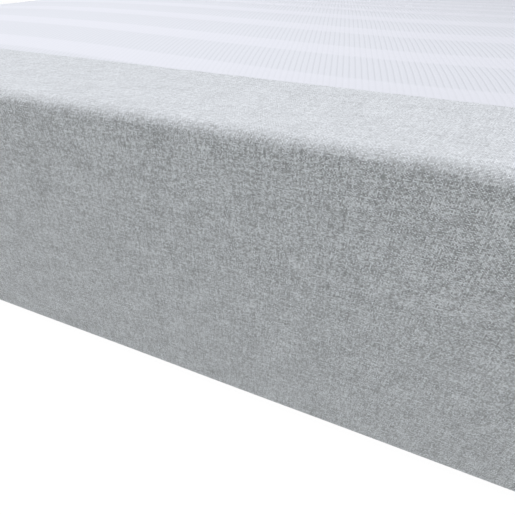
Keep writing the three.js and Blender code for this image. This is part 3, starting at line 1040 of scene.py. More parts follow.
@dataclass(frozen=True)
class MoldedFinish:
    """A plain moulded, plated or rubbery finish with fine wear.

    Attributes:
        name: The material's name.
        dark: Linear colour where it is worn or in shade.
        light: Linear colour of most of it.
        roughness: Its roughness.
        metallic: 1 for metal.
        grain: Width of the wear's marks, in metres.
        bump: Height of the marks, in metres.
    """

    name: str
    dark: tuple
    light: tuple
    roughness: float
    metallic: float = 0.0
    grain: float = 0.8 * MM
    bump: float = 0.02 * MM

    def material(self, effects: Effects) -> bpy.types.Material:
        """The material."""
        made, graph, shader = principled(self.name, self.roughness, Metallic=self.metallic)
        foam = graph.group(effects.foam, Vector=coordinates(graph, "Object"), Cell=self.grain)
        colour = graph.ramp(foam.outputs["Tone"], [(0.25, self.dark), (0.6, self.light)])
        graph.feed(shader.inputs["Base Color"], colour)
        rough = graph.weighted(self.roughness, (0.25, foam.outputs["Tone"]))
        graph.feed(shader.inputs["Roughness"], rough)
        relief(graph, shader, foam.outputs["Height"], self.bump, 0.5)
        return made


@dataclass
class Wardrobe:
    """Every finish of the mattress, made once."""

    form: Form
    effects: Effects = field(default_factory=Effects)
    made: dict[str, bpy.types.Material] = field(default_factory=dict)

    def __post_init__(self) -> None:
        """Makes the materials."""
        seam = -(self.form.half_y - self.form.band)
        melange = ((0.315, 0.333, 0.343), (0.605, 0.637, 0.658), (0.89, 0.935, 0.965))
        finishes = {
            "border": WovenFinish(
                "grey_melange_cloth", *melange, thread=0.6 * MM, slub=13 * MM, slubs=1.3, flecks=0.85,
                checks=0.2, clouds=0.3, bump=0.12 * MM, painted_top_light_calm=0.62,
            ),
            "top": KnitFinish(
                # The second colour is the painted shade in the knit's grooves.
                "ribbed_stripe_knit", (0.62, 0.645, 0.685), (0.575, 0.6, 0.635), (0.648, 0.668, 0.713),
                seam + FIRST_STRIPE,
            ),
            "base": WovenFinish(
                "dark_non_slip_cloth", (0.05, 0.053, 0.058), (0.13, 0.137, 0.145), (0.24, 0.25, 0.26),
                thread=1.4 * MM, places="Object",
            ),
            "sleeve": WovenFinish(
                "thin_sleeve_knit", (0.6, 0.6, 0.58), (0.82, 0.82, 0.8), (0.93, 0.93, 0.91),
                thread=0.9 * MM, slub=3 * MM, flecks=0.3, clouds=0.3,
            ),
            "tape": WovenFinish(
                "zip_tape_cloth", (0.05, 0.055, 0.06), (0.11, 0.12, 0.125), (0.2, 0.21, 0.22),
                thread=0.5 * MM, slub=1.2 * MM, places="Object", bump=0.12 * MM,
            ),
            "label": WovenFinish(
                "blank_satin_tape", (0.75, 0.75, 0.73), (0.86, 0.86, 0.84), (0.94, 0.94, 0.93),
                thread=0.25 * MM, slub=5 * MM, flecks=0.15, clouds=0.2, sheen=0.5, bump=0.06 * MM,
            ),
            "grey_thread": MoldedFinish("grey_sewing_thread", (0.3, 0.31, 0.32), (0.45, 0.46, 0.47), 0.7),
            "white_thread": MoldedFinish("white_sewing_thread", (0.6, 0.61, 0.62), (0.8, 0.81, 0.83), 0.7),
            "coil": MoldedFinish("nylon_zip_coil", (0.05, 0.053, 0.056), (0.1, 0.105, 0.11), 0.4),
            "metal": MoldedFinish(
                "nickel_zip_metal", (0.6, 0.595, 0.58), (0.72, 0.71, 0.69), 0.3, metallic=1.0,
                grain=0.25 * MM, bump=0.004 * MM,
            ),
            "rubber": MoldedFinish("grey_grip_rubber", (0.03, 0.03, 0.032), (0.07, 0.072, 0.075), 0.6),
            "support": FoamFinish("support_foam", (0.62, 0.6, 0.52), (0.86, 0.84, 0.76)),
            "transition": FoamFinish("transition_foam", (0.55, 0.62, 0.7), (0.78, 0.85, 0.92), 1.0 * MM),
            "gel": FoamFinish("gel_foam", (0.16, 0.36, 0.55), (0.42, 0.66, 0.84), 0.8 * MM),
            "memory": FoamFinish("memory_foam", (0.74, 0.71, 0.58), (0.93, 0.91, 0.8), 0.6 * MM),
        }
        self.made = {key: finish.material(self.effects) for key, finish in finishes.items()}

    def dress(self, piece: bpy.types.Object, finish: str) -> None:
        """Puts one finish on a whole piece."""
        piece.data.materials.clear()
        piece.data.materials.append(self.made[finish])

    def fit(
        self, piece: bpy.types.Object, finish: str, slot: str, node: str = "", body: str = ROOT
    ) -> None:
        """Dresses a piece, attaches it to the body it rides on and hides the CAD node it stands for.

        Args:
            piece: The piece.
            finish: Its finish, or no words for a piece that is dressed already.
            slot: Not used.
            node: The CAD node it stands for, or no words for an added piece.
            body: The body it rides on.
        """
        if finish:
            self.dress(piece, finish)
        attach(piece, body)
        if node:
            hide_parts(node)


# ------------------------------------------------------------------ repeats by Geometry Nodes


@dataclass(frozen=True)
class RepeatAlong:
    """Small rods set out along a line, such as stitches or the turns of a zip's coil.

    Attributes:
        name: The piece's name.
        pitch: From one to the next, in metres.
        length: Length of each, in metres.
        radius: Radius of each, in metres.
        sides: Sides of each rod.
        crosswise: Whether they lie across the line, level, and not along it.
        turn: How far each is turned in its plane, in radians.
        tall: How many times as tall as wide each crosswise rod is.
    """

    name: str
    pitch: float
    length: float
    radius: float
    sides: int = 6
    crosswise: bool = False
    turn: float = 0.0
    tall: float = 1.0

    def tree(self, material: bpy.types.Material) -> bpy.types.NodeTree:
        """The Geometry Nodes tree that makes them."""
        tree = bpy.data.node_groups.new(f"{self.name}_repeat", "GeometryNodeTree")
        for port in (
            Port("Line", "Geometry"),
            Port("Pitch", value=self.pitch),
            Port("Rod length", value=self.length),
            Port("Rod radius", value=self.radius),
            Port("Repeats", "Geometry", output=True),
        ):
            port.add_to(tree)
        graph = Graph(tree)
        given, result = graph.node("NodeGroupInput"), graph.node("NodeGroupOutput")
        spaced = graph.node("GeometryNodeCurveToPoints", mode="LENGTH")
        graph.feed(spaced.inputs["Curve"], given.outputs["Line"])
        graph.feed(spaced.inputs["Length"], given.outputs["Pitch"])
        rod = graph.node("GeometryNodeMeshCylinder", fill_type="TRIANGLE_FAN")
        rod.inputs["Vertices"].default_value = self.sides
        graph.feed(rod.inputs["Radius"], given.outputs["Rod radius"])
        graph.feed(rod.inputs["Depth"], given.outputs["Rod length"])
        aim = graph.node("FunctionNodeAlignRotationToVector", axis="X" if self.crosswise else "Z")
        graph.feed(aim.inputs["Vector"], spaced.outputs["Tangent"])
        placed = graph.node("GeometryNodeInstanceOnPoints")
        graph.feed(placed.inputs["Points"], spaced.outputs["Points"])
        graph.feed(placed.inputs["Instance"], self._laid(graph, rod.outputs["Mesh"]))
        graph.feed(placed.inputs["Rotation"], aim.outputs["Rotation"])
        real = graph.node("GeometryNodeRealizeInstances")
        graph.feed(real.inputs[0], placed.outputs[0])
        dressed = graph.node("GeometryNodeSetMaterial")
        graph.feed(dressed.inputs["Geometry"], real.outputs[0])
        dressed.inputs["Material"].default_value = material
        graph.feed(result.inputs["Repeats"], dressed.outputs[0])
        return tree

    def _laid(self, graph: Graph, rod: Socket) -> Socket:
        """The rod, laid down level and turned for a crosswise run."""
        if not self.crosswise:
            return rod
        moved = graph.node("GeometryNodeTransform")
        graph.feed(moved.inputs["Geometry"], rod)
        moved.inputs["Rotation"].default_value = (math.pi / 2, 0.0, self.turn)
        moved.inputs["Scale"].default_value = (1.0, self.tall, 1.0)
        return moved.outputs[0]

    def make(self, line: Array, closed: bool, material: bpy.types.Material) -> bpy.types.Object:
        """The rods as one plain mesh.

        Args:
            line: The points of the line.
            closed: Whether it runs back to its start.
            material: What the rods wear.

        Returns:
            The piece.
        """
        curve = bpy.data.curves.new(f"{self.name}_line", "CURVE")
        curve.dimensions = "3D"
        spline = curve.splines.new("POLY")
        spline.points.add(len(line) - 1)
        spline.points.foreach_set("co", np.c_[line, np.ones(len(line))].astype(np.float32).ravel())
        spline.use_cyclic_u = closed
        guide = linked(bpy.data.objects.new(f"{self.name}_guide", curve))
        return baked_repeat(self.name, guide, self.tree(material), {"Pitch": self.pitch})


def baked_repeat(
    name: str, guide: bpy.types.Object, tree: bpy.types.NodeTree, values: dict[str, float]
) -> bpy.types.Object:
    """What a Geometry Nodes tree makes on a guide, as a plain mesh.

    Args:
        name: The new piece's name.
        guide: The object that the tree reads, which is removed.
        tree: The tree.
        values: Inputs to set, by name.

    Returns:
        The piece.
    """
    modifier = guide.modifiers.new("repeat", "NODES")
    modifier.node_group = tree
    sockets = {s.name: s.identifier for s in tree.interface.items_tree if s.in_out == "INPUT"}
    for key, value in values.items():
        modifier[sockets[key]] = value
    graph = bpy.context.evaluated_depsgraph_get()
    mesh = bpy.data.meshes.new_from_object(guide.evaluated_get(graph))
    mesh.name = name
    guide.modifiers.remove(modifier)
    bpy.data.objects.remove(guide)
    mesh.shade_smooth()
    mesh.set_sharp_from_angle(angle=math.radians(60))
    return linked(bpy.data.objects.new(name, mesh))


@dataclass(frozen=True)
class GripDots:
    """Rubber dots in a staggered field on the underside.

    Attributes:
        pitch: From dot to dot, in metres.
        radius: Radius of a dot where it meets the cloth, in metres.
        height: How far a dot stands out, in metres.
        sides: Sides of a dot.
        margin: From the field to the panel's edge, in metres.
    """

    pitch: float = 26 * MM
    radius: float = 3.2 * MM
    height: float = 0.5 * MM
    sides: int = 8
    margin: float = 22 * MM

    def make(
        self, name: str, width: float, depth: float, z: float, material: bpy.types.Material
    ) -> bpy.types.Object:
        """The dots as one plain mesh.

        Args:
            name: The piece's name.
            width: The panel's size along x.
            depth: The panel's size along y.
            z: The height of the dots' middles.
            material: What the dots wear.

        Returns:
            The piece.
        """
        tree = bpy.data.node_groups.new(f"{name}_repeat", "GeometryNodeTree")
        for port in (
            Port("Field", "Geometry"),
            Port("Dot radius", value=self.radius),
            Port("Dot height", value=self.height),
            Port("Repeats", "Geometry", output=True),
        ):
            port.add_to(tree)
        graph = Graph(tree)
        given, result = graph.node("NodeGroupInput"), graph.node("NodeGroupOutput")
        dot = graph.node("GeometryNodeMeshCone", fill_type="TRIANGLE_FAN")
        dot.inputs["Vertices"].default_value = self.sides
        dot.inputs["Radius Top"].default_value = self.radius
        graph.feed(dot.inputs["Radius Bottom"], graph.math("MULTIPLY", given.outputs["Dot radius"], 0.7))
        graph.feed(dot.inputs["Depth"], given.outputs["Dot height"])
        placed = graph.node("GeometryNodeInstanceOnPoints")
        graph.feed(placed.inputs["Points"], given.outputs["Field"])
        graph.feed(placed.inputs["Instance"], dot.outputs["Mesh"])
        real = graph.node("GeometryNodeRealizeInstances")
        graph.feed(real.inputs[0], placed.outputs[0])
        dressed = graph.node("GeometryNodeSetMaterial")
        graph.feed(dressed.inputs["Geometry"], real.outputs[0])
        dressed.inputs["Material"].default_value = material
        graph.feed(result.inputs["Repeats"], dressed.outputs[0])
        guide = self._field(name, width - 2 * self.margin, depth - 2 * self.margin, z - self.height / 2)
        return baked_repeat(name, guide, tree, {"Dot radius": self.radius})

    def _field(self, name: str, width: float, depth: float, z: float) -> bpy.types.Object:
        """Points in staggered rows."""
        rows, columns = int(depth / self.pitch), int(width / self.pitch)
        points = []
        for row in range(rows + 1):
            shift = self.pitch / 2 * (row % 2)
            for column in range(columns + 1 - row % 2):
                x = (column - columns / 2) * self.pitch + shift
                points.append((x, (row - rows / 2) * self.pitch, z))
        mesh = bpy.data.meshes.new(f"{name}_field")
        mesh.from_pydata(points, [], [])
        return linked(bpy.data.objects.new(f"{name}_field", mesh))


# ------------------------------------------------------------------ cover


@dataclass
class Cover:
    """The zipped outer cover: four border strips, a knitted top panel and a base panel."""

    form: Form
    wardrobe: Wardrobe
    sleeve_top: str
    hem_inset: float = 30 * MM
    hem_width: float = 7 * MM
    hem_height: float = 5.7 * MM
    base_inset: float = 54 * MM
    seam_width: float = 3.2 * MM
    seam_depth: float = 0.25 * MM
    panel_step: float = 7 * MM
    stitch_pitch: float = 3.6 * MM

    def build(self) -> None:
        """Makes every piece of the cover."""
        for side in Side:
            self._border(side)
        self._top_panel()
        self._base_panel()
        self._seam_stitches()
        self._hem_stitches()
        self._corner_stitches()

    def _seam_dip(self, away: Array) -> Array:
        """How far cloth is drawn down near a seam.

        Args:
            away: Distance from the seam, in metres.

        Returns:
            A push, negative for inwards.
        """
        return -self.seam_depth * np.exp(-((away / self.seam_width) ** 2))

    def _border_section(self) -> Section:
        """Rows of a border strip's outer face, from its hem round the side to the top panel's seam."""
        form = self.form
        share = 1 - (1 - np.linspace(0, 1, 17)) ** 1.5
        band = form.runout_inset + (form.band - form.gap - form.runout_inset) * share
        side = np.linspace(form.bottom_edge, form.top_edge_z, 25)[1:-1]
        under = np.linspace(self.hem_inset, form.bottom_edge, 6)[:-1]
        return Section.joined([
            form.level(under, self._under_rise(under)),
            form.bottom_arc(0, 8),
            form.level(np.zeros(len(side)), side),
            form.top_arc(0, 12),
            form.crown_rows(band[1:], 0),
        ])

    def _under_rise(self, inset: Array) -> Array:
        """How far the border's underside clears the ground, which leaves room for its stitches."""
        share = np.clip((inset - self.form.bottom_edge) / (8 * MM), 0, 1)
        return 0.45 * MM * share * share * (3 - 2 * share)

    def _border(self, side: Side) -> None:
        """One border strip, with its turned-up hem."""
        form = self.form
        name = f"cover_border_{side.name.lower()}"
        stations = Stations.strip(side, 9, 220)
        section = self._border_section()
        reach, girth = section.reach(), form.girth(stations)
        to_seam, to_end = reach[-1] - reach, np.minimum(girth, girth[-1] - girth)
        soft = Ripple(0.35 * MM, 120 * MM, 420 * MM, seed=side.value[0] + 3)
        pucker = Ripple(0.1 * MM, 16 * MM, 42 * MM, seed=side.value[0] + 11)
        u, v = np.meshgrid(girth, reach)
        lifted = np.clip((section.z / (30 * MM)), 0, 1)[:, None]
        push = soft.at(u, v) * lifted * np.clip(to_seam / (45 * MM), 0, 1)[:, None]
        push += pucker.at(u, v * 0.15) * np.exp(-to_seam / (14 * MM))[:, None]
        dips = self._seam_dip(to_seam)[:, None]
        push += dips + self._seam_dip(to_end)[None, :] * np.clip(lifted, 0.2, 1)
        push = np.where(section.z[:, None] < 2 * MM, np.minimum(push, 0), push)
        outer = form.surface(section, stations, push)
        inner = form.surface(section, stations, push - form.cloth)
        for grid in (outer, inner):
            self._trim_ends(grid, side)
        places = cloth_places(form, section, stations)
        places[..., 0] += side.value[0] * 3.0
        piece = shell(name + "_cloth", outer, inner, places)
        self.wardrobe.fit(piece, "border", "border_cloth", name)
        hem = self._hem(side, stations)
        LOG.info("%s: %d points", piece.name, len(piece.data.vertices))

    def _trim_ends(self, grid: Array, side: Side) -> None:
        """Keeps a hair's breadth between a strip and its neighbours at the mitred seams."""
        along = {Side.BACK: (-1, 0), Side.FOOT: (0, -1), Side.FRONT: (1, 0), Side.HEAD: (0, 1)}[side]
        for column, way in ((0, 1), (-1, -1)):
            grid[:, column, 0] += along[0] * way * self.form.gap / 2
            grid[:, column, 1] += along[1] * way * self.form.gap / 2

    def _hem(self, side: Side, stations: Stations) -> bpy.types.Object:
        """The folded edge that carries the border's zip tape."""
        form = self.form
        section = self._folded(self.hem_inset, self.hem_inset - self.hem_width)
        grid = form.surface(section, stations)
        self._trim_ends(grid, side)
        piece = tube_strip(f"cover_hem_{side.name.lower()}", grid, cloth_places(form, section, stations))
        self.wardrobe.fit(piece, "border", "border_cloth")
        return piece

    def _folded(self, edge: float, back: float) -> Section:
        """A closed loop of rows round a folded hem.

        Args:
            edge: Depth of the fold's round edge.
            back: Depth of the hem's other edge.

        Returns:
            The rows, the last of which meets the first.
        """
        form = self.form
        low = form.cloth + form.gap / 2 + self._under_rise(self.hem_inset)
        high = self.hem_height - 0.05 * MM
        way = 1 if edge > back else -1
        nose = (high - low) / 2
        angle = np.linspace(-math.pi / 2, math.pi / 2, 6)
        insets = [back, *(edge - way * nose * (1 - np.cos(angle))), back]
        heights = [low, *(low + nose + nose * np.sin(angle)), high]
        return form.level(insets, heights)

    def _top_panel(self) -> None:
        """The crowned knitted panel, with soft puffs between its smooth stripes."""
        form = self.form
        edge = form.band - form.gap
        half_x, half_y = form.half_x - edge, form.half_y - edge
        radius = form.corner + form.corner_growth * edge
        columns, rows = int(2 * half_x / self.panel_step), int(2 * half_y / self.panel_step)
        x, y = np.meshgrid(self._eased(half_x, columns), self._eased(half_y, rows))
        x, y = self.rounded(x, half_x, radius, y, half_y)
        inset = form.inset_at(x, y)
        away = np.maximum(inset - edge, 0)
        finish = self._stripe_puff(x, y) * np.clip(away / (25 * MM), 0, 1)
        soft = Ripple(0.5 * MM, 160 * MM, 520 * MM, seed=21).at(x, y)
        pucker = Ripple(0.1 * MM, 14 * MM, 38 * MM, seed=22).at(x, y) * np.exp(-away / (12 * MM))
        tuck = -0.35 * MM * np.exp(-away / (3 * MM))
        faded = soft * np.clip(away / (60 * MM), 0, 1)
        z = form.crown(inset) + self._seam_dip(away) + tuck + finish + faded + pucker
        outer = np.stack([x, y, z], -1)
        inner = np.stack([x, y, z - form.cloth], -1)
        piece = shell("cover_top_knit", outer, inner, np.stack([x, y], -1))
        self.wardrobe.fit(piece, "top", "top_knit", "cover_top_panel")
        LOG.info("%s: %d points", piece.name, len(piece.data.vertices))

    @staticmethod
    def _eased(half: float, steps: int) -> Array:
        """Places from one edge to the other, closer together near both edges."""
        t = np.linspace(-1, 1, steps + 1)
        return half * (t + 0.012 * np.sin(np.pi * t)) / (1.0)

    @staticmethod
    def rounded(x: Array, half_x: float, radius: float, y: Array, half_y: float) -> tuple[Array, Array]:
        """Draws the corners of a square net in to a rounded outline."""
        u = np.clip((np.abs(x) - (half_x - radius)) / radius, 0, 1)
        v = np.clip((np.abs(y) - (half_y - radius)) / radius, 0, 1)
        pull_x, pull_y = u * (np.sqrt(1 - v**2 / 2) - 1), v * (np.sqrt(1 - u**2 / 2) - 1)
        return x + np.sign(x) * radius * pull_x, y + np.sign(y) * radius * pull_y

    def _stripe_puff(self, x: Array, y: Array) -> Array:
        """How far the ribbed cloth between two smooth stripes stands up."""
        finish = KnitFinish("", (), (), (), -(self.form.half_y - self.form.band) + FIRST_STRIPE)
        wave = finish.wave_height * np.cos(2 * np.pi * (x - finish.wave_start) / finish.wave_length)
        place = (y - finish.start - wave) / finish.period
        return 0.55 * MM * (1 - np.cos(2 * np.pi * place)) / 2

    def _base_panel(self) -> None:
        """The dark underside cloth with its folded edge and grip dots."""
        form = self.form
        dots = GripDots()
        stations = Stations.ring(6, 60)
        low = dots.height
        edge, top = self.base_inset, self.hem_height
        eased, fold = edge + 1.2 * MM, edge + self.hem_width
        section = form.level(
            [edge, edge, eased, fold, fold], [low + 1 * MM, top - 1 * MM, top, top, form.cloth + form.gap]
        )
        inner = form.level([self.base_inset + 2 * self.hem_width], [form.cloth])
        bottom = form.level([edge + 2 * self.hem_width, fold, eased], [low, low, low])
        ring = Section.joined([bottom, section, inner])
        piece = block("cover_base_cloth", form, ring, stations)
        self.wardrobe.fit(piece, "base", "base_cloth", "cover_base_panel")
        width, depth = 2 * (form.half_x - self.base_inset), 2 * (form.half_y - self.base_inset)
        field_dots = dots.make("cover_grip_dots", width, depth, low, self.wardrobe.made["rubber"])
        self.wardrobe.fit(field_dots, "", "base_cloth")
        LOG.info("%s and %s", piece.name, field_dots.name)

    def _seam_stitches(self) -> None:
        """Thread in the seam between the border and the top panel."""
        form = self.form
        stations = Stations.ring(10, 60)
        section = form.crown_rows(np.array([form.band, form.band + 1e-6]), 1.9 * MM)
        line = form.surface(section, stations)[0]
        run = RepeatAlong("cover_seam_stitches", self.stitch_pitch, self.stitch_pitch * 0.72, 0.28 * MM)
        self._sewn(run.make(line, True, self.wardrobe.made["white_thread"]), "top_knit")

    def _sewn(self, piece: bpy.types.Object, cloth: str) -> None:
        """Attaches stitches to the mattress's body."""
        self.wardrobe.fit(piece, "", cloth)
        LOG.info("%s: %d points", piece.name, len(piece.data.vertices))

    def _hem_stitches(self) -> None:
        """Two runs of thread along the border's hem, on the underside."""
        stations = Stations.ring(8, 60)
        for number, inset in enumerate((24.5 * MM, 28 * MM)):
            line = self.form.surface(self.form.level([inset, inset + 1e-6], [0.42 * MM] * 2), stations)[0]
            run = RepeatAlong(f"cover_hem_stitches_{number + 1}", 3.2 * MM, 2.3 * MM, 0.24 * MM)
            self._sewn(run.make(line, True, self.wardrobe.made["grey_thread"]), "border_cloth")

    def _corner_stitches(self) -> None:
        """Thread down in the four mitred seams of the border."""
        form = self.form
        section = Section.joined([
            form.bottom_arc(0, 6), form.level([0.0] * 2, [form.bottom_edge + 1 * MM, form.top_edge_z]),
            form.top_arc(0, 8),
            form.crown_rows(np.linspace(form.runout_inset + 1 * MM, form.band, 6), 0),
        ])
        for corner in range(4):
            stations = Stations.corner(corner, 0.5, 0.5, 1)
            line = form.surface(section, stations, -1.5 * MM)[:, 0]
            run = RepeatAlong(f"cover_corner_stitches_{corner + 1}", 4 * MM, 3 * MM, 0.3 * MM)
            self._sewn(run.make(line, False, self.wardrobe.made["grey_thread"]), "border_cloth")


def tube_strip(name: str, grid: Array, uv: Array) -> bpy.types.Object:
    """A strip whose rows close on themselves, with both ends capped.

    Args:
        name: The object's name.
        grid: Rows round the strip's cross-section by columns along it by x, y and z.
        uv: Rows by columns by the place on the cloth.

    Returns:
        The object.
    """
    rows, columns = grid.shape[:2]
    quads = grid_faces(columns, rows, 0, True)
    points = grid.transpose(1, 0, 2).reshape(-1, 3)
    places = uv.transpose(1, 0, 2).reshape(-1, 2)
    caps = [cap_net(np.arange(rows))[:, ::-1], cap_net((columns - 1) * rows + np.arange(rows))]
    return mesh_object(name, points, np.concatenate([quads, *caps]), places)


# ------------------------------------------------------------------ zip


@dataclass
class Zip:
    """The zip round the underside: tapes, coils, stops, an end patch, a slider and its pull."""

    form: Form
    wardrobe: Wardrobe
    inset: float = 42 * MM
    tape_gap: float = 1.2 * MM
    coil_gap: float = 1.0 * MM
    coil_width: float = 2.4 * MM
    turn_pitch: float = 1.7 * MM
    turn_radius: float = 0.52 * MM

    def build(self) -> None:
        """Makes every piece of the zip."""
        for name, way in (("border", -1), ("base", 1)):
            self._tape(name, way)
            self._coil(name, way)
        self._end_patch()
        for node, body in (
            ("zip_end_stop", ROOT), ("zip_start_stop", ROOT), ("zip_slider", "slider"), ("zip_pull", "pull"),
        ):
            piece = refined(node, f"{node}_metal", 0.12 * MM)
            self.wardrobe.fit(piece, "metal", "zip_metal", node, body)

    def _line(self, inset: float, z: float) -> Array:
        """The zip's path at a depth in from the side, from its closed end round to its start.

        Args:
            inset: The depth.
            z: The height.

        Returns:
            Points of the path.
        """
        form = self.form
        around = Stations.joined([
            Stations.straight(Side.BACK, 120),
            *(part for side in (Side.FOOT, Side.FRONT, Side.HEAD) for part in (
                Stations.corner(side.value[0], 0, 1, 8), Stations.straight(side, 160),
            )),
            Stations.corner(0, 0, 1, 8),
        ])
        points = form.surface(form.level([inset, inset], [z, z]), around)[0]
        low, high = (corner.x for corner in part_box("zip_end_tab"))
        low, high = low - form.gap, high + form.gap
        points = points[(np.arange(len(points)) > 118) | (points[:, 0] < low - 1 * MM)]
        back = np.array([[low, form.half_y - inset, z]])
        start = np.array([[high, form.half_y - inset, z]])
        return np.concatenate([back, points, start])

    def _strip(self, name: str, near: float, far: float, low: float, high: float) -> bpy.types.Object:
        """A flat strip along the zip with rounded edges.

        Args:
            name: The piece's name.
            near: Depth of one edge.
            far: Depth of the other edge.
            low: Height of its underside.
            high: Height of its upper side.

        Returns:
            The piece.
        """
        half, middle = (high - low) / 2, (low + high) / 2
        edges = []
        for edge, way, start in ((far, -1, -math.pi / 2), (near, 1, math.pi / 2)):
            for angle in np.linspace(start, start + math.pi, 5):
                inset = edge + way * half - way * half * abs(math.cos(angle))
                edges.append((inset, middle + way * half * math.sin(angle)))
        rows = [self._line(inset, z) for inset, z in edges]
        grid = np.stack(rows)
        along = np.concatenate([[0], np.cumsum(np.linalg.norm(np.diff(rows[0], axis=0), axis=1))])
        across = np.array([inset for inset, _ in edges])
        uv = np.stack(np.broadcast_arrays(along[None, :], across[:, None]), -1)
        return tube_strip(name, grid, uv)

    def _tape(self, name: str, way: int) -> None:
        """One woven tape."""
        node = f"zip_tape_{name}"
        low, high = (corner.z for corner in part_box(node))
        far_side = self.form.half_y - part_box(node)[1].y
        width = 15 * MM
        near = far_side if way < 0 else self.inset + self.tape_gap / 2
        piece = self._strip(f"{node}_cloth", near, near + width, low, high)
        self.wardrobe.fit(piece, "tape", "zip_tape", node)
        length = float(np.linalg.norm(np.diff(self._line(near, low), axis=0), axis=1).sum())
        LOG.info("%s: %d points", piece.name, len(piece.data.vertices))

    def _coil(self, name: str, way: int) -> None:
        """One coil of nylon turns."""
        node = f"zip_coil_{name}"
        low, high = (corner.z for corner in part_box(node))
        middle = self.inset + way * (self.coil_gap + self.coil_width) / 2
        line = self._line(middle, (low + high) / 2)
        run = RepeatAlong(
            f"{node}_turns", self.turn_pitch, self.coil_width, self.turn_radius, crosswise=True, tall=1.45,
            turn=math.radians(8) * way,
        )
        piece = run.make(line, False, self.wardrobe.made["coil"])
        self.wardrobe.fit(piece, "", "zip_coil", node)
        core = self._strip(
            f"{node}_core", middle - 0.5 * MM, middle + 0.5 * MM, low + 0.4 * MM, high - 0.4 * MM
        )
        self.wardrobe.fit(core, "coil", "zip_coil")
        LOG.info("%s: %d points", piece.name, len(piece.data.vertices))

    def _end_patch(self) -> None:
        """The patch of cloth between the two ends of the zip."""
        low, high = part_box("zip_end_tab")
        piece = patch("zip_end_patch_cloth", low, high, 2, 1.2 * MM)
        self.wardrobe.fit(piece, "border", "border_cloth", "zip_end_tab")


def patch(name: str, low: Vector, high: Vector, axis: int, corner: float) -> bpy.types.Object:
    """A thin rectangle of cloth with rounded corners.

    Args:
        name: The piece's name.
        low: Its lower corner.
        high: Its upper corner.
        axis: The axis across its thickness.
        corner: Radius of its corners.

    Returns:
        The piece.
    """
    flat = [i for i in range(3) if i != axis]
    half = [(high[i] - low[i]) / 2 for i in flat]
    middle = [(high[i] + low[i]) / 2 for i in flat]
    u, v = np.meshgrid(np.linspace(-half[0], half[0], 37), np.linspace(-half[1], half[1], 25))
    u, v = Cover.rounded(u, half[0], corner, v, half[1])
    edge = np.minimum(half[0] - np.abs(u), half[1] - np.abs(v))
    thick = high[axis] - low[axis]
    drop = 0.3 * thick * np.exp(-edge / (0.8 * MM))
    faces = []
    for level, way in ((low[axis], 1), (high[axis], -1)):
        grid = np.zeros((*u.shape, 3))
        grid[..., flat[0]], grid[..., flat[1]] = u + middle[0], v + middle[1]
        grid[..., axis] = level + way * drop
        faces.append(grid)
    return shell(name, faces[0], faces[1], np.stack([u, v], -1))


# ------------------------------------------------------------------ label


@dataclass
class CareLabel:
    """The blank label sewn flat on the foot end."""

    wardrobe: Wardrobe
    stitch_inset: float = 3.5 * MM

    def build(self) -> None:
        """Makes the label and its stitches."""
        low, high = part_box("care_label")
        piece = patch("care_label_tape", low, high, 0, 1.5 * MM)
        self.wardrobe.fit(piece, "label", "label_tape", "care_label")
        left, right = low.y + self.stitch_inset, high.y - self.stitch_inset
        down, up = low.z + self.stitch_inset, high.z - self.stitch_inset
        x = low.x - 0.02 * MM
        line = np.array([(x, left, down), (x, right, down), (x, right, up), (x, left, up)])
        run = RepeatAlong("care_label_stitches", 2.6 * MM, 1.9 * MM, 0.2 * MM)
        stitches = run.make(line, True, self.wardrobe.made["grey_thread"])
        self.wardrobe.fit(stitches, "", "label_tape")
        LOG.info("%s and %s", piece.name, stitches.name)


# ------------------------------------------------------------------ sleeve and foam


